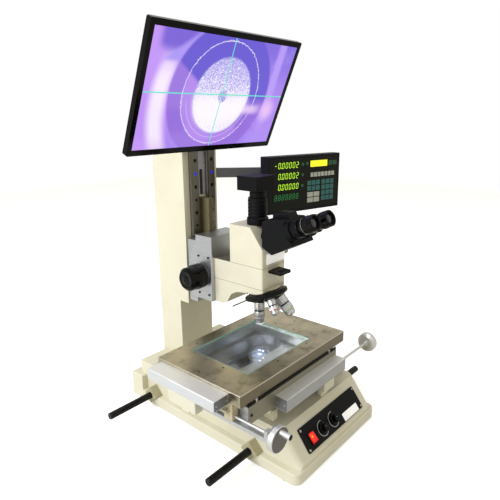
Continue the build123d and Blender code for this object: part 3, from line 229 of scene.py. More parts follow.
def where(tree, *limits):
    """1 where every value lies between its two limits, 0 elsewhere.
    A fourth number spreads the change at both limits over that width."""
    mask = None
    for value, low, high, *spread in limits:
        half, soft = (high - low) / 2, (spread or [0.02])[0] / 2
        away = add_node(tree, "ShaderNodeMath", {0: value, 1: (low + high) / 2},
                        operation="SUBTRACT")
        away = add_node(tree, "ShaderNodeMath", {0: away.outputs[0]}, operation="ABSOLUTE")
        held = add_node(tree, "ShaderNodeMapRange",
                        {"Value": away.outputs[0], "From Min": half + soft,
                         "From Max": half - soft}, interpolation_type="SMOOTHSTEP").outputs[0]
        mask = held if mask is None else add_node(
            tree, "ShaderNodeMath", {0: mask, 1: held}, operation="MULTIPLY").outputs[0]
    return mask


def local(tree, place):
    """Object coordinates turned into a frame of the object's own: X, Y and Z in mm."""
    coords = add_node(tree, "ShaderNodeTexCoord")
    turn = add_node(tree, "ShaderNodeMapping",
                    {"Vector": coords.outputs["Object"], "Location": place.translation,
                     "Rotation": place.to_euler(), "Scale": (MM, MM, MM)}, vector_type="TEXTURE")
    return add_node(tree, "ShaderNodeSeparateXYZ", {0: turn.outputs[0]}).outputs


def far(tree, across, up, x, y):
    """Distance in mm from a point, in the plane of two coordinates."""
    parts = [add_node(tree, "ShaderNodeMath", {0: value, 1: middle}, operation="SUBTRACT")
             for value, middle in ((across, x), (up, y))]
    joined = add_node(tree, "ShaderNodeCombineXYZ", {0: parts[0].outputs[0],
                                                     1: parts[1].outputs[0]})
    return add_node(tree, "ShaderNodeVectorMath", {0: joined.outputs[0]},
                    operation="LENGTH").outputs["Value"]


def at(x, y, z, *turns):
    """Frame at a place in mm, turned by each (degrees, axis) pair in order."""
    place = Matrix.Translation(Vector((x, y, z)) * MM)
    for degrees, axis in turns:
        place = place @ Matrix.Rotation(math.radians(degrees), 4, axis)
    return place


nylon, tree, shader = grained_finish("moulded_black_nylon", 0.9, ("#101012", "#18181b"),
                                     (0.4, 0.55), 0.03, Specular_IOR_Level=0.25)
x, y, z = local(tree, at(INLET_X, 0, INLET_Z))
outs = [far(tree, x, z, side * INLET_SCREW_OUT, 0) for side in (-1, 1)]
metal = [where(tree, (x, *PIN_FIELD[0]), (z, *PIN_FIELD[1]), (y, *PIN_Y))]
metal += [where(tree, (out, -1, INLET_SCREW_R), (y, *FLANGE_Y)) for out in outs]
for mask in metal:
    lay_over(tree, shader, "Base Color", mask, "#c2bfb4")
    lay_over(tree, shader, "Metallic", mask, 1.0)
    lay_over(tree, shader, "Roughness", mask, 0.3)
# Each screw's slot is painted near black: painted shade in the groove.
for out in outs:
    painted_slot_shade = where(tree, (out, -1, INLET_SCREW_R), (y, *FLANGE_Y), (z, -0.4, 0.4))
    lay_over(tree, shader, "Base Color", painted_slot_shade, "#1c1b1a")
dress(nylon, "power_inlet")


# Control plate: black-anodised sheet aluminium on the slanted front, held by four small screws.
# The anodised skin is an even satin black; the arcs about the knobs are silver-filled engraving,
# dull and pale, and the screws are zinc-plated, with a broken bright glint.
SLOPE = at(0, -228, 67, (math.degrees(math.atan2(62, 48)), "X"))
PANEL_MIDDLE, PANEL_SIZE, PANEL_THICK = (3.5, -5.5), (212, 51), 2
ROCKER_MIDDLE = (-74.5, -10.5)
DIMMER_MIDDLES = ((-36.5, -9), (4, -9))
ARC_R, ARC_WIDTH, ARC_TURN = 15.5, 1.3, 250
SMALL_SCREW = (2.4, 1.4, 1.1)
SUNK = 0.05     # mm that a small piece is let into what carries it


def begin(kind, **settings):
    """Adds one primitive, with nothing else selected and its place taken into its mesh."""
    bpy.ops.object.select_all(action="DESELECT")
    getattr(bpy.ops.mesh, "primitive_" + kind + "_add")(**settings)
    bpy.ops.object.transform_apply(location=True, rotation=True, scale=True)
    return bpy.context.object


def pick(piece, kind, test):
    """Opens a piece in edit mode and selects the faces, edges or verts that pass a test."""
    bpy.ops.object.mode_set(mode="EDIT")
    bpy.ops.mesh.select_mode(type={"faces": "FACE", "edges": "EDGE", "verts": "VERT"}[kind])
    bpy.ops.mesh.select_all(action="DESELECT")
    mesh = bmesh.from_edit_mesh(piece.data)
    for item in getattr(mesh, kind):
        item.select_set(bool(test(item)))
    mesh.select_flush_mode()
    bmesh.update_edit_mesh(piece.data)


def step_end(piece, steps):
    """Works the upper end of a turned piece: each step narrows its face, then raises it, in mm.
    A step that doesn't narrow extrudes a straight wall."""
    pick(piece, "faces", lambda face: face.normal.z > 0.9)
    for narrower, up in steps:
        if narrower:
            bpy.ops.mesh.inset(thickness=abs(narrower) * MM, use_outset=narrower < 0)
            if up:
                bpy.ops.transform.translate(value=(0, 0, up * MM))
        else:
            bpy.ops.mesh.extrude_region_move(TRANSFORM_OT_translate={"value": (0, 0, up * MM)})
    bpy.ops.object.mode_set(mode="OBJECT")


def repeated(piece, places):
    """Copies a shape into each frame, each copy with its own mesh, and joins the copies."""
    copies = []
    for place in places:
        twin = piece.copy()
        twin.data = piece.data.copy()
        twin.data.transform(place)
        scene.collection.objects.link(twin)
        copies.append(twin)
    bpy.data.objects.remove(piece)
    return joined(copies)


def joined(pieces):
    """Makes several shapes one."""
    bpy.ops.object.select_all(action="DESELECT")
    for piece in pieces:
        piece.select_set(True)
    bpy.context.view_layer.objects.active = pieces[0]
    if len(pieces) > 1:
        bpy.ops.object.join()
    return bpy.context.object


def settle(piece, name, place, finish, body, angle=35):
    """Puts a finished shape in its frame, gives it its finish and lets it move with a body."""
    if piece.mode == "EDIT":
        bpy.ops.object.mode_set(mode="OBJECT")
    piece.name = piece.data.name = name
    piece.data.transform(place)
    if finish:
        piece.data.materials.clear()
        piece.data.materials.append(finish)
    bpy.ops.object.select_all(action="DESELECT")
    piece.select_set(True)
    bpy.context.view_layer.objects.active = piece
    bpy.ops.object.shade_smooth_by_angle(angle=math.radians(angle))
    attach(piece, body)


def cap_screw(radius, height, socket):
    """Cap screw head about Z, its seat at z = 0: chamfered rim and a sunk socket."""
    screw = begin("cylinder", vertices=24, radius=radius * MM, depth=height * MM,
                  location=(0, 0, height / 2 * MM))
    step_end(screw, [(radius * 0.12, radius * 0.1), (radius * 0.88 - socket, 0),
                     (0, -height * 0.6)])
    return screw


def upright(edge):
    """True for an edge that stands along Z."""
    return (edge.verts[0].co - edge.verts[1].co).xy.length < 1e-6


def thin_plate(width, height, thick, corner, *steps):
    """Thin plate that lies on z = 0, with rounded corners; the steps then work its rim."""
    plate = begin("cube", size=1, location=(0, 0, thick / 2 * MM),
                  scale=(width * MM, height * MM, thick * MM))
    pick(plate, "edges", upright)
    bpy.ops.mesh.bevel(offset=corner * MM, segments=4)
    bpy.ops.object.mode_set(mode="OBJECT")
    step_end(plate, steps)
    return plate


black_anodised, tree, shader = grained_finish(
    "black_anodised_aluminium", 0.7, ("#080809", "#0f0f11"), (0.36, 0.5), 0.01,
    Specular_IOR_Level=0.12)
silver_fill, tree, shader = grained_finish("silver_filled_engraving", 0.6, ("#a9a9a4", "#c6c6c1"),
                                           (0.4, 0.6), 0.01, Metallic=0.4)
bright_zinc, tree, shader = grained_finish("zinc_plated_steel_screw", 0.5, ("#b4b2aa", "#d0cec7"),
                                           (0.26, 0.4), 0.01, Metallic=1.0)
dress(black_anodised, "control_plate")
arc = begin("plane", size=ARC_WIDTH * MM, location=(ARC_R * MM, 0, 0),
            rotation=(math.pi / 2, 0, 0))
pick(arc, "faces", lambda face: True)
bpy.ops.transform.resize(value=(1, 1, 0.25), center_override=(0, 0, 0))
bpy.ops.mesh.spin(steps=40, angle=math.radians(ARC_TURN), center=(0, 0, 0), axis=(0, 0, 1))
bpy.ops.mesh.select_all(action="SELECT")
bpy.ops.mesh.remove_doubles(threshold=0.01 * MM)
bpy.ops.mesh.normals_make_consistent(inside=False)
bpy.ops.object.mode_set(mode="OBJECT")
arcs = repeated(arc, [at(x, y, PANEL_THICK, (-(ARC_TURN - 180) / 2, "Z"))
                      for x, y in DIMMER_MIDDLES])
settle(arcs, "dimmer_arcs", SLOPE, silver_fill, "base")
corner_x, corner_y = PANEL_SIZE[0] / 2 - 5, PANEL_SIZE[1] / 2 - 5
screws = repeated(cap_screw(*SMALL_SCREW),
                  [at(PANEL_MIDDLE[0] + sx * corner_x, PANEL_MIDDLE[1] + sy * corner_y,
                      PANEL_THICK - SUNK) for sx in (-1, 1) for sy in (-1, 1)])
settle(screws, "control_plate_screws", SLOPE, bright_zinc, "base")

# Blank label: thin white vinyl film, cut with round corners and stuck on the control plate.
# It gives a soft sheen over plain white and glows faintly, painted light; another of the same
# film is on the head.
LABEL_MIDDLE, LABEL_SIZE = (64, -21.5), (59, 16.5)
LABEL_THICK, LABEL_CORNER, LABEL_RIM = 0.24, 1.5, (0.2, 0.06)
label_film_glowing, tree, shader = grained_finish("white_vinyl_film_painted_glow", 3, ("#efefed", "#f5f5f4"),
                                          (0.34, 0.46), 0.01, Emission_Color=(1, 1, 1, 1),
                                          Emission_Strength=0.3)
settle(thin_plate(*LABEL_SIZE, LABEL_THICK, LABEL_CORNER, LABEL_RIM), "control_plate_label",
       SLOPE @ at(*LABEL_MIDDLE, PANEL_THICK - SUNK), label_film_glowing, "base")

# Rocker switch: moulded red polycarbonate with a neon lamp behind its lower half.
# Lit, it glows orange-red, brightest in a small yellow spot over the lamp.
red_rocker, tree, shader = grained_finish("moulded_red_polycarbonate", 1.2,
                                          ("#bd120a", "#d41a10"), (0.18, 0.28), 0.01,
                                          Emission_Strength=0.9)
x, y, z = local(tree, SLOPE @ at(*ROCKER_MIDDLE, 0))
lamp_spot = add_node(tree, "ShaderNodeMapRange", {"Value": far(tree, x, y, -1.5, 3),
                                                  "From Max": 14})
glow = add_node(tree, "ShaderNodeValToRGB", {"Fac": lamp_spot.outputs[0]})
glow.color_ramp.elements[0].color = linear("#ffd23c")
glow.color_ramp.elements[1].color = linear("#5c0400")
glow.color_ramp.elements.new(0.25).color = linear("#f02a12")
tree.links.new(glow.outputs[0], shader.inputs["Emission Color"])
dress(red_rocker, "rocker_switch")

# Brightness knobs: moulded black phenolic with a fluted grip and a white pointer line.
# Phenolic takes a deep gloss on its top face; the pointer is matt paint in a shallow groove.
KNOB_TOP = 15
POINTER_TURNS = (35, 10)


def rounded(piece, width, segments=2, limit=40):
    """Rounds the sharp edges of a piece by an applied Bevel."""
    bpy.ops.object.modifier_add(type="BEVEL")
    bevel = piece.modifiers[-1]
    bevel.width = width * MM
    bevel.segments = segments
    bevel.limit_method = "ANGLE"
    bevel.angle_limit = math.radians(limit)
    bpy.ops.object.modifier_apply(modifier=bevel.name)
    return piece


def block(x, y, z, width, segments=2):
    """Rectangular bar of a size in mm about the origin, its edges rounded over a width."""
    return rounded(begin("cube", size=1, scale=(x * MM, y * MM, z * MM)), width, segments)


def turned(radius, length, vertices, *steps):
    """Plain disc about Z through the origin; the steps then work its upper end."""
    disc = begin("cylinder", vertices=vertices, radius=radius * MM, depth=length * MM)
    if steps:
        step_end(disc, steps)
    return disc


gloss_black, tree, shader = grained_finish("moulded_black_phenolic", 2.5, ("#040405", "#080809"),
                                           (0.07, 0.14), 0.004, Specular_IOR_Level=0.15)
white_line, tree, shader = grained_finish("white_filled_pointer", 0.5, ("#d8d8d4", "#ececea"),
                                          (0.4, 0.6), 0.01)
dress(gloss_black, "dimmer_knob_left", "dimmer_knob_right")
for side, (x, y), turn in zip(("left", "right"), DIMMER_MIDDLES, POINTER_TURNS):
    settle(block(0.9, 5, 0.5, 0.15, 1), "dimmer_pointer_" + side,
           SLOPE @ at(x, y, KNOB_TOP + SUNK, (turn, "Z")) @ at(0, 4.6, 0), white_line,
           "dimmer_" + side)
    settle(turned(7, 0.6, 32, (0.8, 0.25), (4, -0.3), (1.6, 0)), "dimmer_cap_" + side,
           SLOPE @ at(x, y, KNOB_TOP - SUNK), gloss_black, "dimmer_" + side)

# Carrying bars: chemically blacked steel rods for lifting the instrument, four in all.
# Each stands in a square flange painted with the base; the black oxide is worn a little.
FLANGE_FACE_X = 160.2
blacked_steel, tree, shader = grained_finish("blacked_steel_bar", 6, ("#080707", "#151210"),
                                             (0.2, 0.42), 0.02, (0.2, 1, 1),
                                             Specular_IOR_Level=0.2)
x, y, z = local(tree, at(0, 0, 0))
flange = where(tree, (x, -FLANGE_FACE_X, FLANGE_FACE_X))
lay_over(tree, shader, "Base Color", flange, "#b0a888")
lay_over(tree, shader, "Roughness", flange, 0.38)
dress(blacked_steel, "carrying_bar_front_left", "carrying_bar_front_right",
      "carrying_bar_rear_left", "carrying_bar_rear_right")


# Column: a tall iron casting on the base's rear, enamelled cream like the base.
# Its two ground rails, the height rack and the light cover are screwed to its front.
# Behind the cover's slot its front is painted near black: painted shade.
COVER_SLOT_SHADE = ((-14, 14), (144, 146), (505, 681))
RAIL_SCREW_X, RAIL_SCREW_Y, RAIL_FACE_Y = 26, 138, 133
RAIL_SCREW_Z = range(286, 647, 60)
PLUG_Z, BLUE_CAP_Z = (316, 376, 436, 496, 616), (556,)
COVER_SCREWS = ((-10, 572), (10, 572), (-10, 672), (10, 672))
OUTWARD = (90, "X")
column_enamel, tree, shader = cream_enamel("cream_stoved_enamel_column_slot_shade", 90)
x, y, z = local(tree, at(0, 0, 0))
# Behind the light cover's slot the column's front is painted near black: painted shade.
painted_slot_shade = where(tree, *((value, *limits) for value, limits in zip((x, y, z), COVER_SLOT_SHADE)))
lay_over(tree, shader, "Base Color", painted_slot_shade, "#1d1c17")
dress(column_enamel, "column_casting")
# Ground rail steel, oiled, shows long faint streaks; it is drawn darker than the other
# ground steel, a painted dark reflection.
rail_steel, tree, shader = grained_finish("ground_oiled_rail_steel_painted_dark", 1.2, ("#69665b", "#7b786d"),
                                          (0.3, 0.42), 0.004, (1, 1, 0.05), Metallic=1.0)
dress(rail_steel, "rail_left", "rail_right")
# The milled rack holds yellowed oil and looks dull brown; the cover is brushed along its length.
oiled_rack, tree, shader = grained_finish("milled_oiled_steel_rack", 1.6, ("#7b7256", "#978d6f"),
                                          (0.38, 0.54), 0.02, Metallic=0.8)
dress(oiled_rack, "height_rack")
brushed_aluminium, tree, shader = grained_finish(
    "brushed_anodised_aluminium", 1.1, ("#a5a3ac", "#b6b4bd"), (0.4, 0.5), 0.006, (1, 1, 0.03),
    Metallic=0.7)
dress(brushed_aluminium, "column_cover")
# Blacked screws are near black with a dull sheen; the nylon caps are a strong even blue
# and glow faintly, a painted blue glint.
black_screw, tree, shader = grained_finish("blacked_cap_screw", 0.6, ("#141415", "#262627"),
                                           (0.3, 0.5), 0.01, Metallic=0.6)
blue_nylon, tree, shader = grained_finish("blue_nylon_cap_painted_glint", 0.8, ("#1212cc", "#1c1ce4"),
                                          (0.25, 0.4), 0.01, Emission_Color=linear("#1414ff"),
                                          Emission_Strength=0.5)
screws = repeated(cap_screw(3.9, 3.6, 1.9), [at(sx * RAIL_SCREW_X, RAIL_SCREW_Y + 0.1, z, OUTWARD)
                                             for sx in (-1, 1) for z in RAIL_SCREW_Z])
settle(screws, "rail_screws", at(0, 0, 0), black_screw, "base")
for name, finish, heights in (("rail_plugs", rubber, PLUG_Z),
                              ("rail_caps_blue", blue_nylon, BLUE_CAP_Z)):
    plugs = repeated(turned(3.2, 0.5, 24, (0.5, 0.2)),
                     [at(sx * RAIL_SCREW_X, RAIL_FACE_Y - 0.15, z, OUTWARD)
                      for sx in (-1, 1) for z in heights])
    settle(plugs, name, at(0, 0, 0), finish, "base")
screws = repeated(cap_screw(2.4, 1.3, 1.1), [at(x, 142.4, z, OUTWARD) for x, z in COVER_SCREWS])
settle(screws, "cover_screws", at(0, 0, 0), bright_zinc, "base")


# Height carriage: milled aluminium block and saddle that slide on the rails.
# The faces are brushed and clear anodised; socket screws hold the block to its guides.
BLOCK_FACE_X = 50
SIDE_SCREWS = ((75, 372), (107, 372), (75, 282), (107, 282))
satin_aluminium, tree, shader = grained_finish(
    "brushed_clear_anodised_aluminium", 0.9, ("#a9abae", "#c3c5c7"), (0.32, 0.46), 0.012,
    (1, 0.03, 1), Metallic=1.0)
dress(satin_aluminium, "height_block", "guide_block_left", "guide_block_right")
screws = repeated(cap_screw(2.6, 1.6, 1.4),
                  [at(sx * (BLOCK_FACE_X - SUNK), y, z, (sx * 90, "Y")) for sx in (-1, 1)
                   for y, z in SIDE_SCREWS])
settle(screws, "height_block_screws", at(0, 0, 0), black_screw, "z_carriage")

# Focus shaft and knobs: a steel shaft, ground bright, with two turned phenolic knobs.
# Each knob ends in a dished cap with a screw in its middle; its deep gloss shows soft rings.
SIDES = (("left", -1), ("right", 1))
KNOB_FACE_X, FOCUS_Y, FOCUS_Z, BAND_X = 102, 96, 328, 78
CAP_STEPS = ((1, 0.5), (1.2, 0), (1.5, -0.9), (8, 0.35), (1, 0.5), (3.5, 0), (0.8, -0.8))
ground_steel, tree, shader = grained_finish("surface_ground_steel", 2.2, ("#8d8e91", "#a9aaaa"),
                                            (0.24, 0.36), 0.006, (1, 1, 0.1), Metallic=1.0)
dress(ground_steel, "focus_shaft")
dress(gloss_black, "focus_knob_left", "focus_knob_right")
for side, sx in SIDES:
    face = at(sx * KNOB_FACE_X, FOCUS_Y, FOCUS_Z, (sx * 90, "Y"))
    settle(turned(21, 1.6, 64, *CAP_STEPS), "focus_cap_" + side, face, gloss_black, "focus")
    settle(cap_screw(2.6, 1.2, 1.3), "focus_cap_screw_" + side, face @ at(0, 0, 0.2),
           black_screw, "focus")
    settle(rounded(turned(28.25, 1.2, 64), 0.3), "focus_band_" + side,
           at(sx * BAND_X, FOCUS_Y, FOCUS_Z, (sx * 90, "Y")), gloss_black, "focus")


# Head: arm, filter section and upper housing, cast and enamelled, joined at two thin dark seams.
# One set screw and a blank label film are all that breaks the plain cream faces.
SEAMS, SEAM_HALF = (325, 372), 0.35
SET_SCREW = at(-40 - SUNK, -34, 310, (-90, "Y"))
HEAD_LABEL = at(6, -76 - SUNK, 390.5, OUTWARD)
head_enamel, tree, shader = cream_enamel("cream_stoved_enamel_seamed", 60)
x, y, z = local(tree, at(0, 0, 0))
for seam in SEAMS:
    lay_over(tree, shader, "Base Color", where(tree, (z, seam - SEAM_HALF, seam + SEAM_HALF)),
             "#55503f")
dress(head_enamel, "head_arm", "filter_section", "head_housing")
settle(cap_screw(1.7, 0.5, 0.9), "head_set_screws", SET_SCREW, black_screw, "z_carriage")
# The head label is the same faintly glowing film: painted light.
settle(thin_plate(64, 23, LABEL_THICK, LABEL_CORNER, LABEL_RIM), "head_label", HEAD_LABEL,
       label_film_glowing, "z_carriage")


# Filter slide: a black-anodised strip with three ridges to pull it by. The path rod is steel
# with a turned knob: both slide in and out of the head.
RIDGE_Y, RIDGE_Z = (-104, -100, -96), 365
PATH_KNOB = at(51, -66, 392, (90, "Y"))


def ribbed(radius, width, ribs, depth, gap=0.25):
    """Band about Z with straight ribs raised on its rim, as a coarse straight knurl."""
    band = begin("cylinder", vertices=ribs, radius=radius * MM, depth=width * MM)
    pick(band, "faces", lambda face: abs(face.normal.z) < 0.5)
    step = 2 * math.pi * radius / ribs
    bpy.ops.mesh.inset(thickness=step * gap * MM, depth=depth * MM, use_individual=True)
    bpy.ops.object.mode_set(mode="OBJECT")
    return band


dress(black_anodised, "filter_slide")
ridges = repeated(block(26, 1.6, 1.4, 0.5), [at(0, y, RIDGE_Z) for y in RIDGE_Y])
settle(ridges, "filter_slide_ridges", at(0, 0, 0), black_anodised, "filter")
dress(ground_steel, "path_rod")
settle(ribbed(6, 7, 28, 0.25), "path_rod_knurl", PATH_KNOB, ground_steel, "path_selector")


# Nosepiece: a black-anodised disc with five threaded places, turned by its knurled rim.
# The anodised skin is worn to a soft grey sheen on the rim; the thin rod beside it is plated.
NOSE = at(0, -57.55, 296.2, (-20, "X"))
nose_black, tree, shader = grained_finish("black_anodised_turned_disc", 2.5,
                                          ("#060606", "#0f0f10"), (0.22, 0.4), 0.01,
                                          Specular_IOR_Level=0.15)
dress(nose_black, "turret")
dress(bright_zinc, "nosepiece_rod")
settle(ribbed(48.1, 4.6, 90, 0.35), "turret_knurl", NOSE @ at(0, 0, 7.4), nose_black,
       "nosepiece")
settle(turned(12, 2, 40, (1, 0.6), (5.5, 0.4), (1, -0.8), (3, 0)), "turret_hub_cap",
       NOSE @ at(0, 0, -1.2, (180, "X")), nose_black, "nosepiece")

# Objectives: turned brass, satin-chrome plated, each with a knurled grip and a front lens.
# Plain engraved lines and one coloured ring tell them apart; the lit one glows at its lens,
# and the tip of its chrome barrel is made to glow white, a painted highlight.
# Each row: name, place in the nosepiece, radius, length and ring colour.
OBJECTIVES = (("low", 0, 12, 55, "#d8d8d4"), ("short", 1, 11.5, 36, "#c9c24a"),
              ("high", 2, 13, 48, "#7fb24e"), ("slim", 3, 9.5, 34, "#c92a20"))
STATION_TURN, STATION_OUT, STATION_LEAN, SEAT_DEPTH = -72, 24, 20, 7
lens_glass, tree, shader = grained_finish("coated_lens_glass", 9, ("#080b11", "#151122"),
                                          (0.02, 0.05), 0.001, Coat_Weight=0.5,
                                          Coat_Roughness=0.02, Specular_IOR_Level=0.5)
lit_glass, tree, shader = grained_finish("lit_objective_lens", 5, ("#f2f4ff", "#ffffff"),
                                         (0.05, 0.15), 0.001, Emission_Color=linear("#f4f6ff"),
                                         Emission_Strength=2.2)
for name, station, radius, length, ring in OBJECTIVES:
    seat = (NOSE @ at(0, 0, 0, (STATION_TURN * station, "Z"))
            @ at(0, STATION_OUT, 0, (STATION_LEAN, "X")) @ at(0, 0, -SEAT_DEPTH))
    barrel, tree, shader = grained_finish(
        "satin_chrome_objective_" + name, 1.2, ("#b9babb", "#d2d3d4"), (0.22, 0.34), 0.008,
        (1, 1, 0.3), Metallic=1.0, Emission_Color=(0, 0, 0, 1),
        Emission_Strength=0.7 if name == "low" else 0.0)
    x, y, z = local(tree, seat)
    lay_over(tree, shader, "Base Color", where(tree, (z, -0.42 * length, -0.36 * length)),
             "#3b3b3d")
    mark = where(tree, (z, -0.72 * length, -0.72 * length + 1.6))
    lay_over(tree, shader, "Base Color", mark, ring)
    lay_over(tree, shader, "Metallic", mark, 0.0)
    for share in (0.08, 0.3, 0.78):
        line = where(tree, (z, -share * length - 0.3, -share * length))
        lay_over(tree, shader, "Base Color", line, "#2c2c2e")
    # The chrome nose of the lit objective glows white: a painted highlight.
    lay_over(tree, shader, "Emission Color", where(tree, (z, -1.1 * length, -0.93 * length, 4)),
             "#ffffff")
    dress(barrel, "objective_" + name)
    grip = rounded(ribbed(radius + 0.05, 0.2 * length, 44, 0.3), 0.15, 1, 60)
    settle(grip, "objective_grip_" + name, seat @ at(0, 0, -0.56 * length), barrel, "nosepiece")
    lens = turned(radius - 5.2, 0.8, 40, (0.5, -0.2), (0.8, 0), ((radius - 6.5) * 0.5, 0.25))
    settle(lens, "objective_lens_" + name, seat @ at(0, 0, -length - 0.1, (180, "X")),
           lit_glass if name == "low" else lens_glass, "nosepiece")


# Eyepiece head: a cast prism block with two swinging tubes, enamelled in a satin black
# with a fine even texture that spreads its highlights; a turned cap covers the hinge.
TUBES, TUBE_OUT = at(0, -197, 488, (65, "X")), 27
black_enamel, tree, shader = grained_finish("black_textured_enamel", 0.8, ("#07080a", "#0d0e11"),
                                            (0.28, 0.46), 0.03, Specular_IOR_Level=0.12)
dress(black_enamel, "prism_block", "eye_tube_left", "eye_tube_right")
hinge = ribbed(10.5, 2.2, 36, 0.3)
step_end(hinge, [(1.2, 0.4), (4, 0), (0.8, -0.5), (2.5, 0)])
settle(hinge, "tube_hinge_cap", TUBES @ at(0, 0, -50.7), black_enamel, "z_carriage")
settle(cap_screw(2.0, 0.9, 1.1), "tube_hinge_screw", TUBES @ at(0, 0, -49.6), bright_zinc,
       "z_carriage")
for side, sx in SIDES:
    settle(rounded(turned(19.35, 3, 56), 0.6), "eye_tube_ring_" + side,
           TUBES @ at(sx * TUBE_OUT, 0, -36.2), gloss_black, "eye_" + side)

# Eyepieces: turned aluminium, black anodised and polished, with a ribbed setting ring,
# a bright engraved line, a soft rubber rim and a coated eye lens that glints.
RIM_Z = 33
dress(gloss_black, "eyepiece_left", "eyepiece_right")
for side, sx in SIDES:
    eye = TUBES @ at(sx * TUBE_OUT, 0, -34)
    settle(ribbed(17.45, 7.5, 60, 0.3), "eyepiece_grip_" + side, eye @ at(0, 0, 17.5),
           gloss_black, "ocular_" + side)
    settle(rounded(turned(16.6, 0.6, 56), 0.1, 1), "eyepiece_line_" + side, eye @ at(0, 0, 9),
           silver_fill, "ocular_" + side)
    rim = begin("torus", major_radius=14.4 * MM, minor_radius=1.5 * MM, major_segments=56,
                minor_segments=12, location=(0, 0, RIM_Z * MM))
    pick(rim, "verts", lambda vert: vert.co.z > RIM_Z * MM)
    bpy.ops.transform.resize(value=(1.02, 1.02, 1), center_override=(0, 0, 0))
    settle(rim, "eyepiece_rim_" + side, eye, rubber, "ocular_" + side)
    lens = turned(11.2, 1.0, 48, (1.0, -0.15), (0.5, 0.6), (2.5, 0.8), (3, 0.5), (3, 0.2))
    settle(lens, "eyepiece_lens_" + side, eye @ at(0, 0, 28.2), lens_glass, "ocular_" + side,
           60)


# Camera: a bead-blasted black housing on a turned black tube with clamp rings.
# Four screws hold its lid; vents and one socket open its rear face.
CAMERA, CAMERA_TOP, CAMERA_BACK = at(0, -27, 532), 29.4, 28
TUBE_Y, TUBE_RING_Z, CLAMP_Z = -31, (479, 486.5, 494, 501.5, 509), 465
blasted_black, tree, shader = grained_finish("bead_blasted_black_aluminium", 0.7,
                                             ("#08080a", "#0f0f12"), (0.42, 0.58), 0.02,
                                             Specular_IOR_Level=0.1)
dress(blasted_black, "camera")
dress(black_enamel, "camera_tube")
settle(block(62.5, 56.5, 1.0, 0.35), "camera_lid_edge", CAMERA @ at(0, 0, CAMERA_TOP - 0.5),
       blasted_black, "camera_body")
screws = repeated(cap_screw(1.6, 0.5, 0.8), [at(sx * 27, sy * 24, CAMERA_TOP + 0.5)
                                             for sx in (-1, 1) for sy in (-1, 1)])
settle(screws, "camera_screws", CAMERA, black_screw, "camera_body")
vents = repeated(block(1.6, 0.6, 14, 0.25, 1), [at(x, CAMERA_BACK + 0.1, 14)
                                                for x in range(-22, 0, 4)])
settle(vents, "camera_vents", CAMERA, gloss_black, "camera_body")
socket = block(14, 7, 1.2, 0.5)
step_end(socket, [(1, 0), (0, -1.4)])
settle(socket, "camera_socket", CAMERA @ at(14, CAMERA_BACK, 15, (-90, "X")), bright_zinc,
       "camera_body")
rings = repeated(rounded(turned(21.4, 4.2, 56), 0.7), [at(0, TUBE_Y, z) for z in TUBE_RING_Z])
settle(rings, "camera_tube_rings", at(0, 0, 0), black_enamel, "z_carriage")
settle(ribbed(23.4, 9, 48, 0.35), "camera_tube_clamp", at(0, TUBE_Y, CLAMP_Z), black_enamel,
       "z_carriage")


# Stage bed: a milled aluminium block on the base, with hardened steel ways on its top.
# The milled skin is a light clear anodise with faint cutter marks; the ways are ground bright.
milled_aluminium, tree, shader = grained_finish(
    "milled_clear_anodised_aluminium", 2.4, ("#b8b9ba", "#cecfd0"), (0.38, 0.52), 0.012,
    (0.08, 1, 1), Metallic=0.85)
dress(milled_aluminium, "stage_bed", "y_drive_arm")

# Lamp tube: a turned aluminium well with a polished ring and a condenser lens in its mouth.
# The lens is clear glass over a cool white lamp, brightest in its middle.
LAMP_X, LAMP_Y = 0, -35
polished_ring, tree, shader = grained_finish("polished_turned_aluminium", 1.4,
                                             ("#b6b8bb", "#d0d1d3"), (0.14, 0.28), 0.01,
                                             Metallic=1.0)
dress(polished_ring, "light_tube")
condenser, tree, shader = smooth_finish("lit_condenser_glass", "#9fb2d8", 0.05, Coat_Weight=1.0,
                                        Emission_Strength=1.0)
x, y, z = local(tree, at(LAMP_X, LAMP_Y, 146))
spot = add_node(tree, "ShaderNodeMapRange", {"Value": far(tree, x, y, 0, 0), "From Max": 19})
glow = add_node(tree, "ShaderNodeValToRGB", {"Fac": spot.outputs[0]})
glow.color_ramp.elements[0].color = (6, 6.5, 9, 1)
glow.color_ramp.elements[1].color = linear("#30384a")
glow.color_ramp.elements.new(0.16).color = (2.5, 2.9, 4.6, 1)
glow.color_ramp.elements.new(0.26).color = linear("#8f9dbd")
tree.links.new(glow.outputs[0], shader.inputs["Emission Color"])
settle(turned(19.4, 1.6, 56, (0.6, 0.3), (4, 1.2), (5, 0.7), (5, 0.2)), "condenser_lens",
       at(LAMP_X, LAMP_Y, 144), condenser, "base", 60)


# X carriage: the lower slide of the stage, milled from plate like its bed, its front face
# painted a darker olive grey as painted shade under the stage plate.
# Black rubber strips close the gap under the stage plate against dust at its two ends;
# the long middle strip is a dark sheet laid in the shaded gap between them: painted shade.
STRIPS = ((-213, -192), (-184, 56), (64, 85))
STRIP_Y, STRIP_Z = -186, 180.2
carriage_aluminium, tree, shader = grained_finish(
    "milled_aluminium_painted_shade_at_front", 2.4, ("#bcbdbe", "#d0d1d2"), (0.34, 0.46), 0.012,
    (0.08, 1, 1), Metallic=0.85)
x, y, z = local(tree, at(0, 0, 0))
# The front face is painted olive grey: painted shade under the stage plate.
painted_front_shade = where(tree, (y, -400, -186.6))
lay_over(tree, shader, "Base Color", painted_front_shade, "#87836f")
lay_over(tree, shader, "Metallic", painted_front_shade, 0.4)
dress(carriage_aluminium, "x_carriage")
# The second, long strip stands where the gap is only in shade: painted shade.
for number, (x0, x1) in enumerate(STRIPS, 1):
    settle(block(x1 - x0, 1.8, 6.4, 0.5), "dust_and_shade_strip_%d" % number,
           at((x0 + x1) / 2, STRIP_Y, STRIP_Z), rubber, "x_stage")
screws = repeated(cap_screw(3, 1.2, 1.6), [at(x, -187 + SUNK, 158, OUTWARD) for x in (-205, 77)])
settle(screws, "x_carriage_screws", at(0, 0, 0), black_screw, "x_stage")
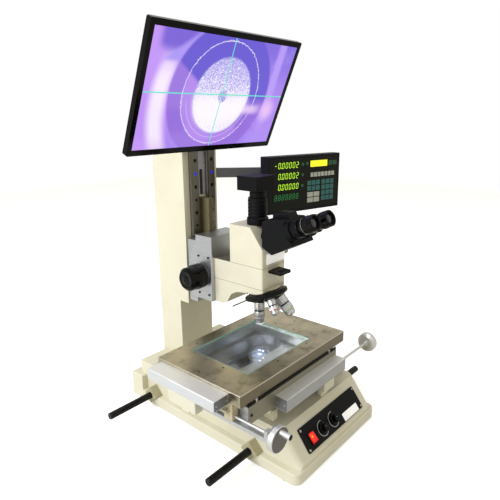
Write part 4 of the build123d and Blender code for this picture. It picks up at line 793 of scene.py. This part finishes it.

# Drive of the stage: plated rods in plain bearings, turned by two handwheels with cranks.
# Bearings, friction nut and release lever are cream-enamelled iron, worn brassy in patches;
# the wheels are satin steel with a darker face between rim and hub.
X_ROD_Y, X_ROD_Z = -176, 126
WHEELS = (("x", at(264, X_ROD_Y, X_ROD_Z, (90, "Y"))), ("y", at(-225, -268, 156, (90, "X"))))
WHEEL_FACE_R, CRANK_OUT, CRANK_R = 22.6, 15, 5.6
worn_enamel, tree, shader = grained_finish("cream_enamel_worn_to_brass", 3,
                                           ("#bfb695", "#d4cdb2"), (0.3, 0.5), 0.02)
clouded(tree, shader, 9, "#8d7743", 0.55)
dress(worn_enamel, "x_bearings", "y_drive_nut", "release_lever")
for axis, place in WHEELS:
    wheel, tree, shader = grained_finish("satin_steel_handwheel_" + axis, 1.5,
                                         ("#cccccb", "#dcdcdb"), (0.3, 0.42), 0.006,
                                         Metallic=0.9)
    x, y, z = local(tree, place)
    face = where(tree, (z, -0.7, 0.5), (far(tree, x, y, 0, 0), -1, WHEEL_FACE_R))
    crank = (far(tree, x, y, 0, CRANK_OUT), -1, CRANK_R)
    for mask, hex_colour, rough in ((face, "#6f6a64", 0.5),
                                    (where(tree, crank, (z, -0.7, 0.5)), "#d4d4d3", 0.36),
                                    (where(tree, crank, (z, 21.6, 23)), "#262626", 0.6)):
        lay_over(tree, shader, "Base Color", mask, hex_colour)
        lay_over(tree, shader, "Roughness", mask, rough)
    dress(wheel, axis + "_handwheel")
    settle(turned(22.4, 0.8, 64, (1.2, 0.2), (0.8, -0.4), (9, 0)), "handwheel_face_" + axis,
           place @ at(0, 0, -0.35), wheel, axis + "_wheel")
    settle(turned(6.5, 5, 40, (0.8, 0.8), (1.2, 0), (0, 0.6)), "handwheel_hub_" + axis,
           place @ at(0, 0, -19.5, (180, "X")), wheel, axis + "_wheel")
settle(cap_screw(*SMALL_SCREW), "lever_screw", at(-240, -155, 168, (-90, "Y")), bright_zinc,
       "nut_lever")
collars = repeated(rounded(turned(6.2, 5, 32), 0.6),
                   [at(x, X_ROD_Y, X_ROD_Z, (90, "Y")) for x in (-129, 133)])
settle(collars, "x_rod_collars", at(0, 0, 0), blacked_steel, "x_wheel")

# Measuring scales: extruded aluminium covers over glass scales, with die-cast end plates.
# Their clear anodise is drawn along the extrusion; each top face is painted pale as a painted
# highlight, and the X cover is drawn a darker grey than the Y cover.
# Each row: name, frame with X along the cover, its length, width and height, brush, colours.
SCALE_COVERS = (("x", at(-27, -201, 151.5), (214, 28, 27), (0.02, 1, 1), ("#9a9a99", "#b4b4b3")),
                ("y", at(-251.5, -63.5, 192, (90, "Z")), (184, 37, 22), (1, 0.02, 1),
                 ("#d0d3d7", "#e8eaed")))
end_grey, tree, shader = grained_finish("grey_die_cast_end_plate", 1.2, ("#6c6c6f", "#838386"),
                                        (0.42, 0.6), 0.02, Metallic=0.7)
for axis, place, (length, width, height), brush, colours in SCALE_COVERS:
    cover, tree, shader = grained_finish("extruded_anodised_cover_" + axis, 0.9, colours,
                                         (0.34, 0.48), 0.01, brush, Metallic=0.9)
    x, y, z = local(tree, place)
    # The top face is painted near white: a painted highlight.
    lay_over(tree, shader, "Base Color", where(tree, (z, height / 2 - 0.6, 20)), "#eeeeee")
    dress(cover, axis + "_scale_cover")
    for number, end in enumerate((1, -1), 1):
        plate = block(height - 3, width - 3, 1.2, 0.4)
        plate.data.materials.append(end_grey)
        screws = repeated(cap_screw(1.6, 0.6, 0.8), [at(0, side * (width / 2 - 6), 0.5)
                                                     for side in (-1, 1)])
        screws.data.materials.append(bright_zinc)
        settle(joined([plate, screws]), "%s_scale_end_%d" % (axis, number),
               place @ at(end * length / 2, 0, 0, (end * 90, "Y")), None, axis + "_stage")
# The reading heads are cream-enamelled zinc die castings, a touch duller than the base.
reader_enamel, tree, shader = grained_finish("cream_enamelled_die_casting", 1.4,
                                             ("#d2cdb7", "#dedac6"), (0.36, 0.5), 0.02)
dress(reader_enamel, "x_reading_head", "y_reading_head")


# Stage plate: surface-ground tool steel, oiled, with a brown bloom and darker stains.
# The grinding leaves fine lines along X; the edges are broken bright, with a painted highlight
# laid along them, and the front side face is painted darker as painted shade.
PLATE, PLATE_HALF, BROKEN_EDGE = at(-56, -71, 208), (177, 114), 0.6
GLASS_WELL = ((-111, 95), (-75, 83))
plate_steel, tree, shader = grained_finish("oiled_ground_tool_steel", 0.9, ("#9a917b", "#bcb49f"),
                                           (0.24, 0.4), 0.006, (0.03, 1, 1), Metallic=1.0)
clouded(tree, shader, 26, "#74694f", 0.75, (0.5, 0.68), 5.0, 0.62)
clouded(tree, shader, 90, "#d8ccb0", 0.6, (0.45, 0.65), 2.0)
x, y, z = local(tree, PLATE)
# Along the top edges a light band is painted: bright broken steel and a painted highlight.
for value, half in zip((x, y), PLATE_HALF):
    away = add_node(tree, "ShaderNodeMath", {0: value}, operation="ABSOLUTE").outputs[0]
    edge = where(tree, (away, half - BROKEN_EDGE, half - BROKEN_EDGE + 3), (z, -1.2, 0.2))
    lay_over(tree, shader, "Base Color", edge, "#d8d2c6")
# The front side face is painted a darker brown: painted shade.
lay_over(tree, shader, "Base Color", where(tree, (y, -116, -113.2), (z, -30, -1.3)), "#756c58")
well = where(tree, (x, *GLASS_WELL[0]), (y, *GLASS_WELL[1]), (z, -30, -0.8))
lay_over(tree, shader, "Base Color", well, "#d2d5d3")
dress(plate_steel, "y_table")

# Stage glass: clear float glass let into the plate, its ground edges sea green and glowing
# faintly, a painted highlight.
# Its clear coat carries the reflections, so what lies under the glass is seen once and sharp.
GLASS, GLASS_HALF = at(-64, -67, 205), (100.6, 76.6)
float_glass, tree, shader = smooth_finish(
    "clear_float_glass_glowing_edges", "#f6fbf9", 0.0, IOR=1.05, Transmission_Weight=1.0, Alpha=0.3,
    Coat_Weight=0.6, Coat_IOR=1.5, Emission_Color=(0, 0, 0, 1), Emission_Strength=0.35)
x, y, z = local(tree, GLASS)
for value, half in zip((x, y), GLASS_HALF):
    away = add_node(tree, "ShaderNodeMath", {0: value}, operation="ABSOLUTE").outputs[0]
    edge = where(tree, (away, half, half + 3), (z, 1.5, 2.6))
    lay_over(tree, shader, "Base Color", edge, "#7fd0bf")
    # The edges glow sea green: a painted highlight.
    lay_over(tree, shader, "Emission Color", edge, "#8fdccc")
    lay_over(tree, shader, "Roughness", edge, 0.3)
    lay_over(tree, shader, "Alpha", edge, 1.0)
dress(float_glass, "stage_glass")


# Readout: a folded steel case with a black membrane front; digits, keys and a small display.
# The powder coat is a blue-black; digits are lit green segments behind a dark window.
READOUT_CASE = at(220, -1, 520, (-15, "Z")) @ at(0, 1.5, 0)
READOUT = READOUT_CASE @ at(0, 0, 0, OUTWARD)
DIGIT_PITCH, DIGIT_HEIGHT, DIGIT_WIDTH = 11, 14.5, 7.4
ROW_LEFT, ROW_PLACES, DIGIT_Z = -91.2, 7, 1.1
ROWS = ((46.7, "-000002"), (21, "000002"), (-5, "000000"))
# Each group of keys: name, colour, width, height and middles.
KEYS = (("teal", "#195f5c", 12.5, 11.7, [(14.25 + 14.5 * i, -1 - 14 * k) for i in range(3)
                                         for k in range(2)]
         + [(61.5 + 14.5 * i, -1 - 14 * k) for i in range(3) for k in range(4)]),
        ("white", "#b9b9ae", 9.5, 11, [(22.75 + 11.7 * i, 19) for i in range(7)]),
        ("wide", "#b9b9ae", 19, 12, [(18 + 21 * i, -30.5 - 14 * k) for i in range(2)
                                     for k in range(2)]),
        ("green", "#10491f", 13, 11, [(84, 46), (99, 46)]))
ROUND_KEYS = ((-8, 47), (6, 48), (-8, 21), (-8.5, -5.5))
SLAB_RIM = ((0.25, 0.2), (0.4, 0.05))
KEY_RIM = ((0.25, 0.2), (0.4, -0.07))
powder_coat, tree, shader = grained_finish("blue_black_powder_coat", 1.0, ("#0e1019", "#151722"),
                                           (0.38, 0.55), 0.03, Specular_IOR_Level=0.15)
dress(powder_coat, "readout_case")
# The printed membrane has an even fine satin; the smoked window over the digits is glossier.
membrane, tree, shader = grained_finish("black_polyester_membrane", 1.0, ("#0b0d08", "#1b1c14"),
                                        (0.3, 0.5), 0.01, Specular_IOR_Level=0.15)
settle(thin_plate(225, 127, 0.3, 3, *SLAB_RIM), "readout_membrane", READOUT, membrane,
       "readout")
window, tree, shader = grained_finish("smoked_display_window", 2, ("#080d05", "#11180b"),
                                      (0.08, 0.18), 0.004, Specular_IOR_Level=0.2)
settle(thin_plate(84, 100, 0.2, 2, *SLAB_RIM), "readout_window", READOUT @ at(-58.5, 6, 0.45),
       window, "readout")

# Digits: seven-segment lamps that lean to the right, three rows lit and one unlit row in dark
# green, which is made to glow faintly as painted light.
# Each segment: middle, in half widths and half heights of a digit, and turn.
SEGMENTS = {"a": (0, 1, 0), "b": (0.5, 0.5, 90), "c": (0.5, -0.5, 90), "d": (0, -1, 0),
            "e": (-0.5, -0.5, 90), "f": (-0.5, 0.5, 90), "g": (0, 0, 0)}
SHAPES = {"0": "abcdef", "2": "abged", "-": "g", "8": "abcdefg"}
LEAN = Matrix(((1, 0.14, 0, 0), (0, 1, 0, 0), (0, 0, 1, 0), (0, 0, 0, 1)))


def segment_bar():
    """One segment of a digit, of unit length along X, with pointed ends."""
    bar = begin("cube", size=1, scale=(1, 0.2, 0.12))
    pick(bar, "edges", upright)
    bpy.ops.mesh.bevel(offset=0.095, segments=1)
    bpy.ops.object.mode_set(mode="OBJECT")
    return bar


def digit_row(text, left, middle):
    """Frames of every lit segment in a row of leaning digits."""
    places = []
    width, half = DIGIT_WIDTH * 0.78, DIGIT_HEIGHT * 0.45
    for number, sign in enumerate(text):
        for name in SHAPES[sign]:
            x, y, turn = SEGMENTS[name]
            long = half if turn else width * 0.9
            places.append(at(left + number * DIGIT_PITCH, middle, DIGIT_Z) @ LEAN
                          @ at(x * width, y * half, 0, (turn, "Z"))
                          @ Matrix.Diagonal((long * 0.92 * MM, 5.6 * MM, 2 * MM, 1)))
    return places


lit_green, tree, shader = grained_finish("lit_green_segments", 3, ("#16240a", "#22340e"),
                                         (0.3, 0.5), 0.001, Emission_Color=linear("#bdf52c"),
                                         Emission_Strength=1.5)
# The unlit row is given a faint green glow: painted light.
dim_green, tree, shader = grained_finish("unlit_green_segments_painted_glow", 3, ("#12381b", "#184a25"),
                                         (0.3, 0.5), 0.001, Emission_Color=linear("#1f7f3c"),
                                         Emission_Strength=0.8)
places = []
for middle, text in ROWS:
    left = ROW_LEFT + DIGIT_PITCH * (ROW_PLACES - len(text))
    places += digit_row(text, left, middle)
    point = left + DIGIT_PITCH * (1.5 if text[0] == "-" else 0.5)
    places.append(at(point + 0.4, middle - DIGIT_HEIGHT / 2 + 0.8, DIGIT_Z)
                  @ Matrix.Diagonal((1.6 * MM, 6 * MM, 2 * MM, 1)))
settle(repeated(segment_bar(), places), "readout_digits", READOUT, lit_green, "readout")
settle(repeated(segment_bar(), digit_row("8" * ROW_PLACES, ROW_LEFT, -30)),
       "readout_dim_digits", READOUT, dim_green, "readout")

# Keys: moulded silicone caps in printed colours, a little mottled; the round ones are green too.
# The small display is a lit yellow screen; the vents are black slots in the case's back.
for name, hex_colour, width, height, middles in KEYS:
    finish, tree, shader = grained_finish("moulded_key_" + name, 1.5, (hex_colour, hex_colour),
                                          (0.38, 0.52), 0.01)
    clouded(tree, shader, 2.5, "#5f8a84", 0.3)
    keys = repeated(thin_plate(width, height, 0.5, 1.2, *KEY_RIM),
                    [at(x, y, 0.5) for x, y in middles])
    settle(keys, "readout_keys_" + name, READOUT, finish, "readout")
keys = repeated(turned(4.2, 0.8, 24, (0.3, 0.3), (0.8, -0.15)),
                [at(x, y, 0.9) for x, y in ROUND_KEYS])
settle(keys, "readout_round_keys", READOUT, finish, "readout")
lcd, tree, shader = grained_finish("lit_yellow_display", 4, ("#626210", "#787818"), (0.15, 0.3),
                                   0.001, Emission_Color=linear("#ffff1e"), Emission_Strength=1.0)
settle(thin_plate(56, 15.5, 0.3, 0.8, *SLAB_RIM), "readout_lcd", READOUT @ at(45, 46.2, 0.45),
       lcd, "readout")
vents = repeated(block(2, 0.8, 34, 0.3, 1), [at(x, 28.6, -34) for x in range(-96, -30, 7)])
settle(vents, "readout_vents", READOUT_CASE, gloss_black, "readout")

# Readout arm and bracket: steel flat and turned posts, hinged at both ends and bolted on.
# Their grey hammered enamel has a fine dimpled sheen.
grey_enamel, tree, shader = grained_finish("grey_hammered_enamel", 2.0, ("#63656c", "#7a7c82"),
                                           (0.32, 0.48), 0.03, Metallic=0.3)
dress(grey_enamel, "readout_arm", "readout_bracket")


# Mast: a short cast-iron arm screwed on the column's top, with the monitor's hinge pin.
# It has the base's cream enamel.
dress(base_enamel, "monitor_mast")

# Monitor: a moulded gloss-black case round a flat screen, tilting on the mast.
# The screen glows with a live picture: a bright speckled disc and rings under a cross-hair.
HINGE = at(0, 68, 727, (23.5, "X"))
SCREEN = HINGE @ at(0, 1.5, 0, OUTWARD)
SCREEN_SIZE = (417.5, 235.5)
VENT_X, VENT_Z, BACK_Y, BOSS_Y, BOSS_SCREW_OUT = range(-116, 117, 8), 40, 27, 31, 37.5
piano_black, tree, shader = grained_finish("moulded_gloss_black_abs", 5, ("#050506", "#0b0b0c"),
                                           (0.1, 0.2), 0.004, Specular_IOR_Level=0.12)
dress(piano_black, "monitor")
picture, tree, shader = smooth_finish("lit_screen_under_clear_film", "#020203", 0.14,
                                      Emission_Color=linear("#ab84ee"), Emission_Strength=1.0)
x, y, z = local(tree, SCREEN)
place = add_node(tree, "ShaderNodeTexCoord")
speckle, drift, jag = [
    add_node(tree, "ShaderNodeTexNoise", {"Vector": place.outputs["Object"],
                                          "Scale": 1 / (size * MM), "Detail": 3.0,
                                          "Roughness": rough}).outputs["Fac"]
    for size, rough in ((2.6, 0.7), (60, 0.5), (5, 0.5))]
out = far(tree, x, y, 0, 0)
disc = far(tree, x, y, 4, -4)
diagonal, uneven, whiteness, slant = [
    add_node(tree, "ShaderNodeMath", {0: first, 1: weight, 2: second},
             operation="MULTIPLY_ADD").outputs[0]
    for first, weight, second in ((x, 0.667, y), (jag, 7, out), (y, -0.0012, speckle),
                                  (x, -0.7, y))]
# Layers of the picture, from back to front: soft violet ground, rings, disc and cross-hair.
for limits, hex_colour in (
        ([(y, 50, 900, 140)], "#7f68de"),
        ([(drift, 0.55, 9, 0.3)], "#a98bf2"),
        ([(x, -900, -135, 40), (diagonal, -900, -44, 26)], "#c79cf6"),
        ([(x, -900, -172, 30)], "#c194f6"),
        ([(far(tree, x, y, 60, -20), 213, 249, 24), (y, -122, 62, 84)], "#f8eaff"),
        ([(x, -188, -108, 22), (y, 84, 900, 22)], "#7a60d6"),
        ([(slant, 154, 186, 16), (y, 62, 900, 12)], "#ab96f5"),
        ([(x, 148, 172, 14), (y, -70, 900, 90)], "#b598f6"),
        ([(far(tree, x, y, 166, -34), -90, 22, 36)], "#e3bdf4"),
        ([(out, -90, 148, 8)], "#9a74de"),
        ([(out, -90, 148, 8), (diagonal, -28, 900, 12), (y, -14, 900, 26)], "#6656d2"),
        ([(out, -90, 112, 8), (diagonal, -900, -28, 16)], "#b288ec"),
        ([(uneven, 114.2, 116, 1.6)], "#e6dcff"),
        ([(out, 96.5, 98.5, 1.5), (y, -900, -16, 20)], "#c9aef4"),
        ([(y, -42, -24, 14), (x, 70, 132, 44)], "#dfc3f4"),
        ([(disc, -90, 83, 7)], "#a79bea"),
        ([(disc, -90, 83, 7), (whiteness, 0.48, 9, 0.12)], "#f8f5ff"),
        ([(disc, -90, 80, 30), (y, -66, -4, 44)], "#fdf6ff"),
        ([(disc, -90, 13, 8), (speckle, 0, 0.55, 0.3)], "#8f80dc"),
        ([(x, -0.2, 2.2)], "#5fe8c8"),
        ([(y, -1.2, 1.2)], "#5fe8c8")):
    lay_over(tree, shader, "Emission Color", where(tree, *limits), hex_colour)
settle(thin_plate(*SCREEN_SIZE, 0.4, 1, *SLAB_RIM), "monitor_screen", SCREEN, picture,
       "monitor_head")
vents = repeated(block(2.4, 20, 1.0, 0.4, 1), [at(x, VENT_Z, 0) for x in VENT_X
                                               if abs(x) > 56])
settle(vents, "monitor_vents", HINGE @ at(0, BACK_Y, 0, (-90, "X")), gloss_black, "monitor_head")
screws = repeated(cap_screw(3.2, 1.4, 1.6),
                  [at(sx * BOSS_SCREW_OUT, BOSS_Y, sz * BOSS_SCREW_OUT, (-90, "X"))
                   for sx in (-1, 1) for sz in (-1, 1)])
settle(screws, "monitor_plate_screws", HINGE, black_screw, "monitor_head")
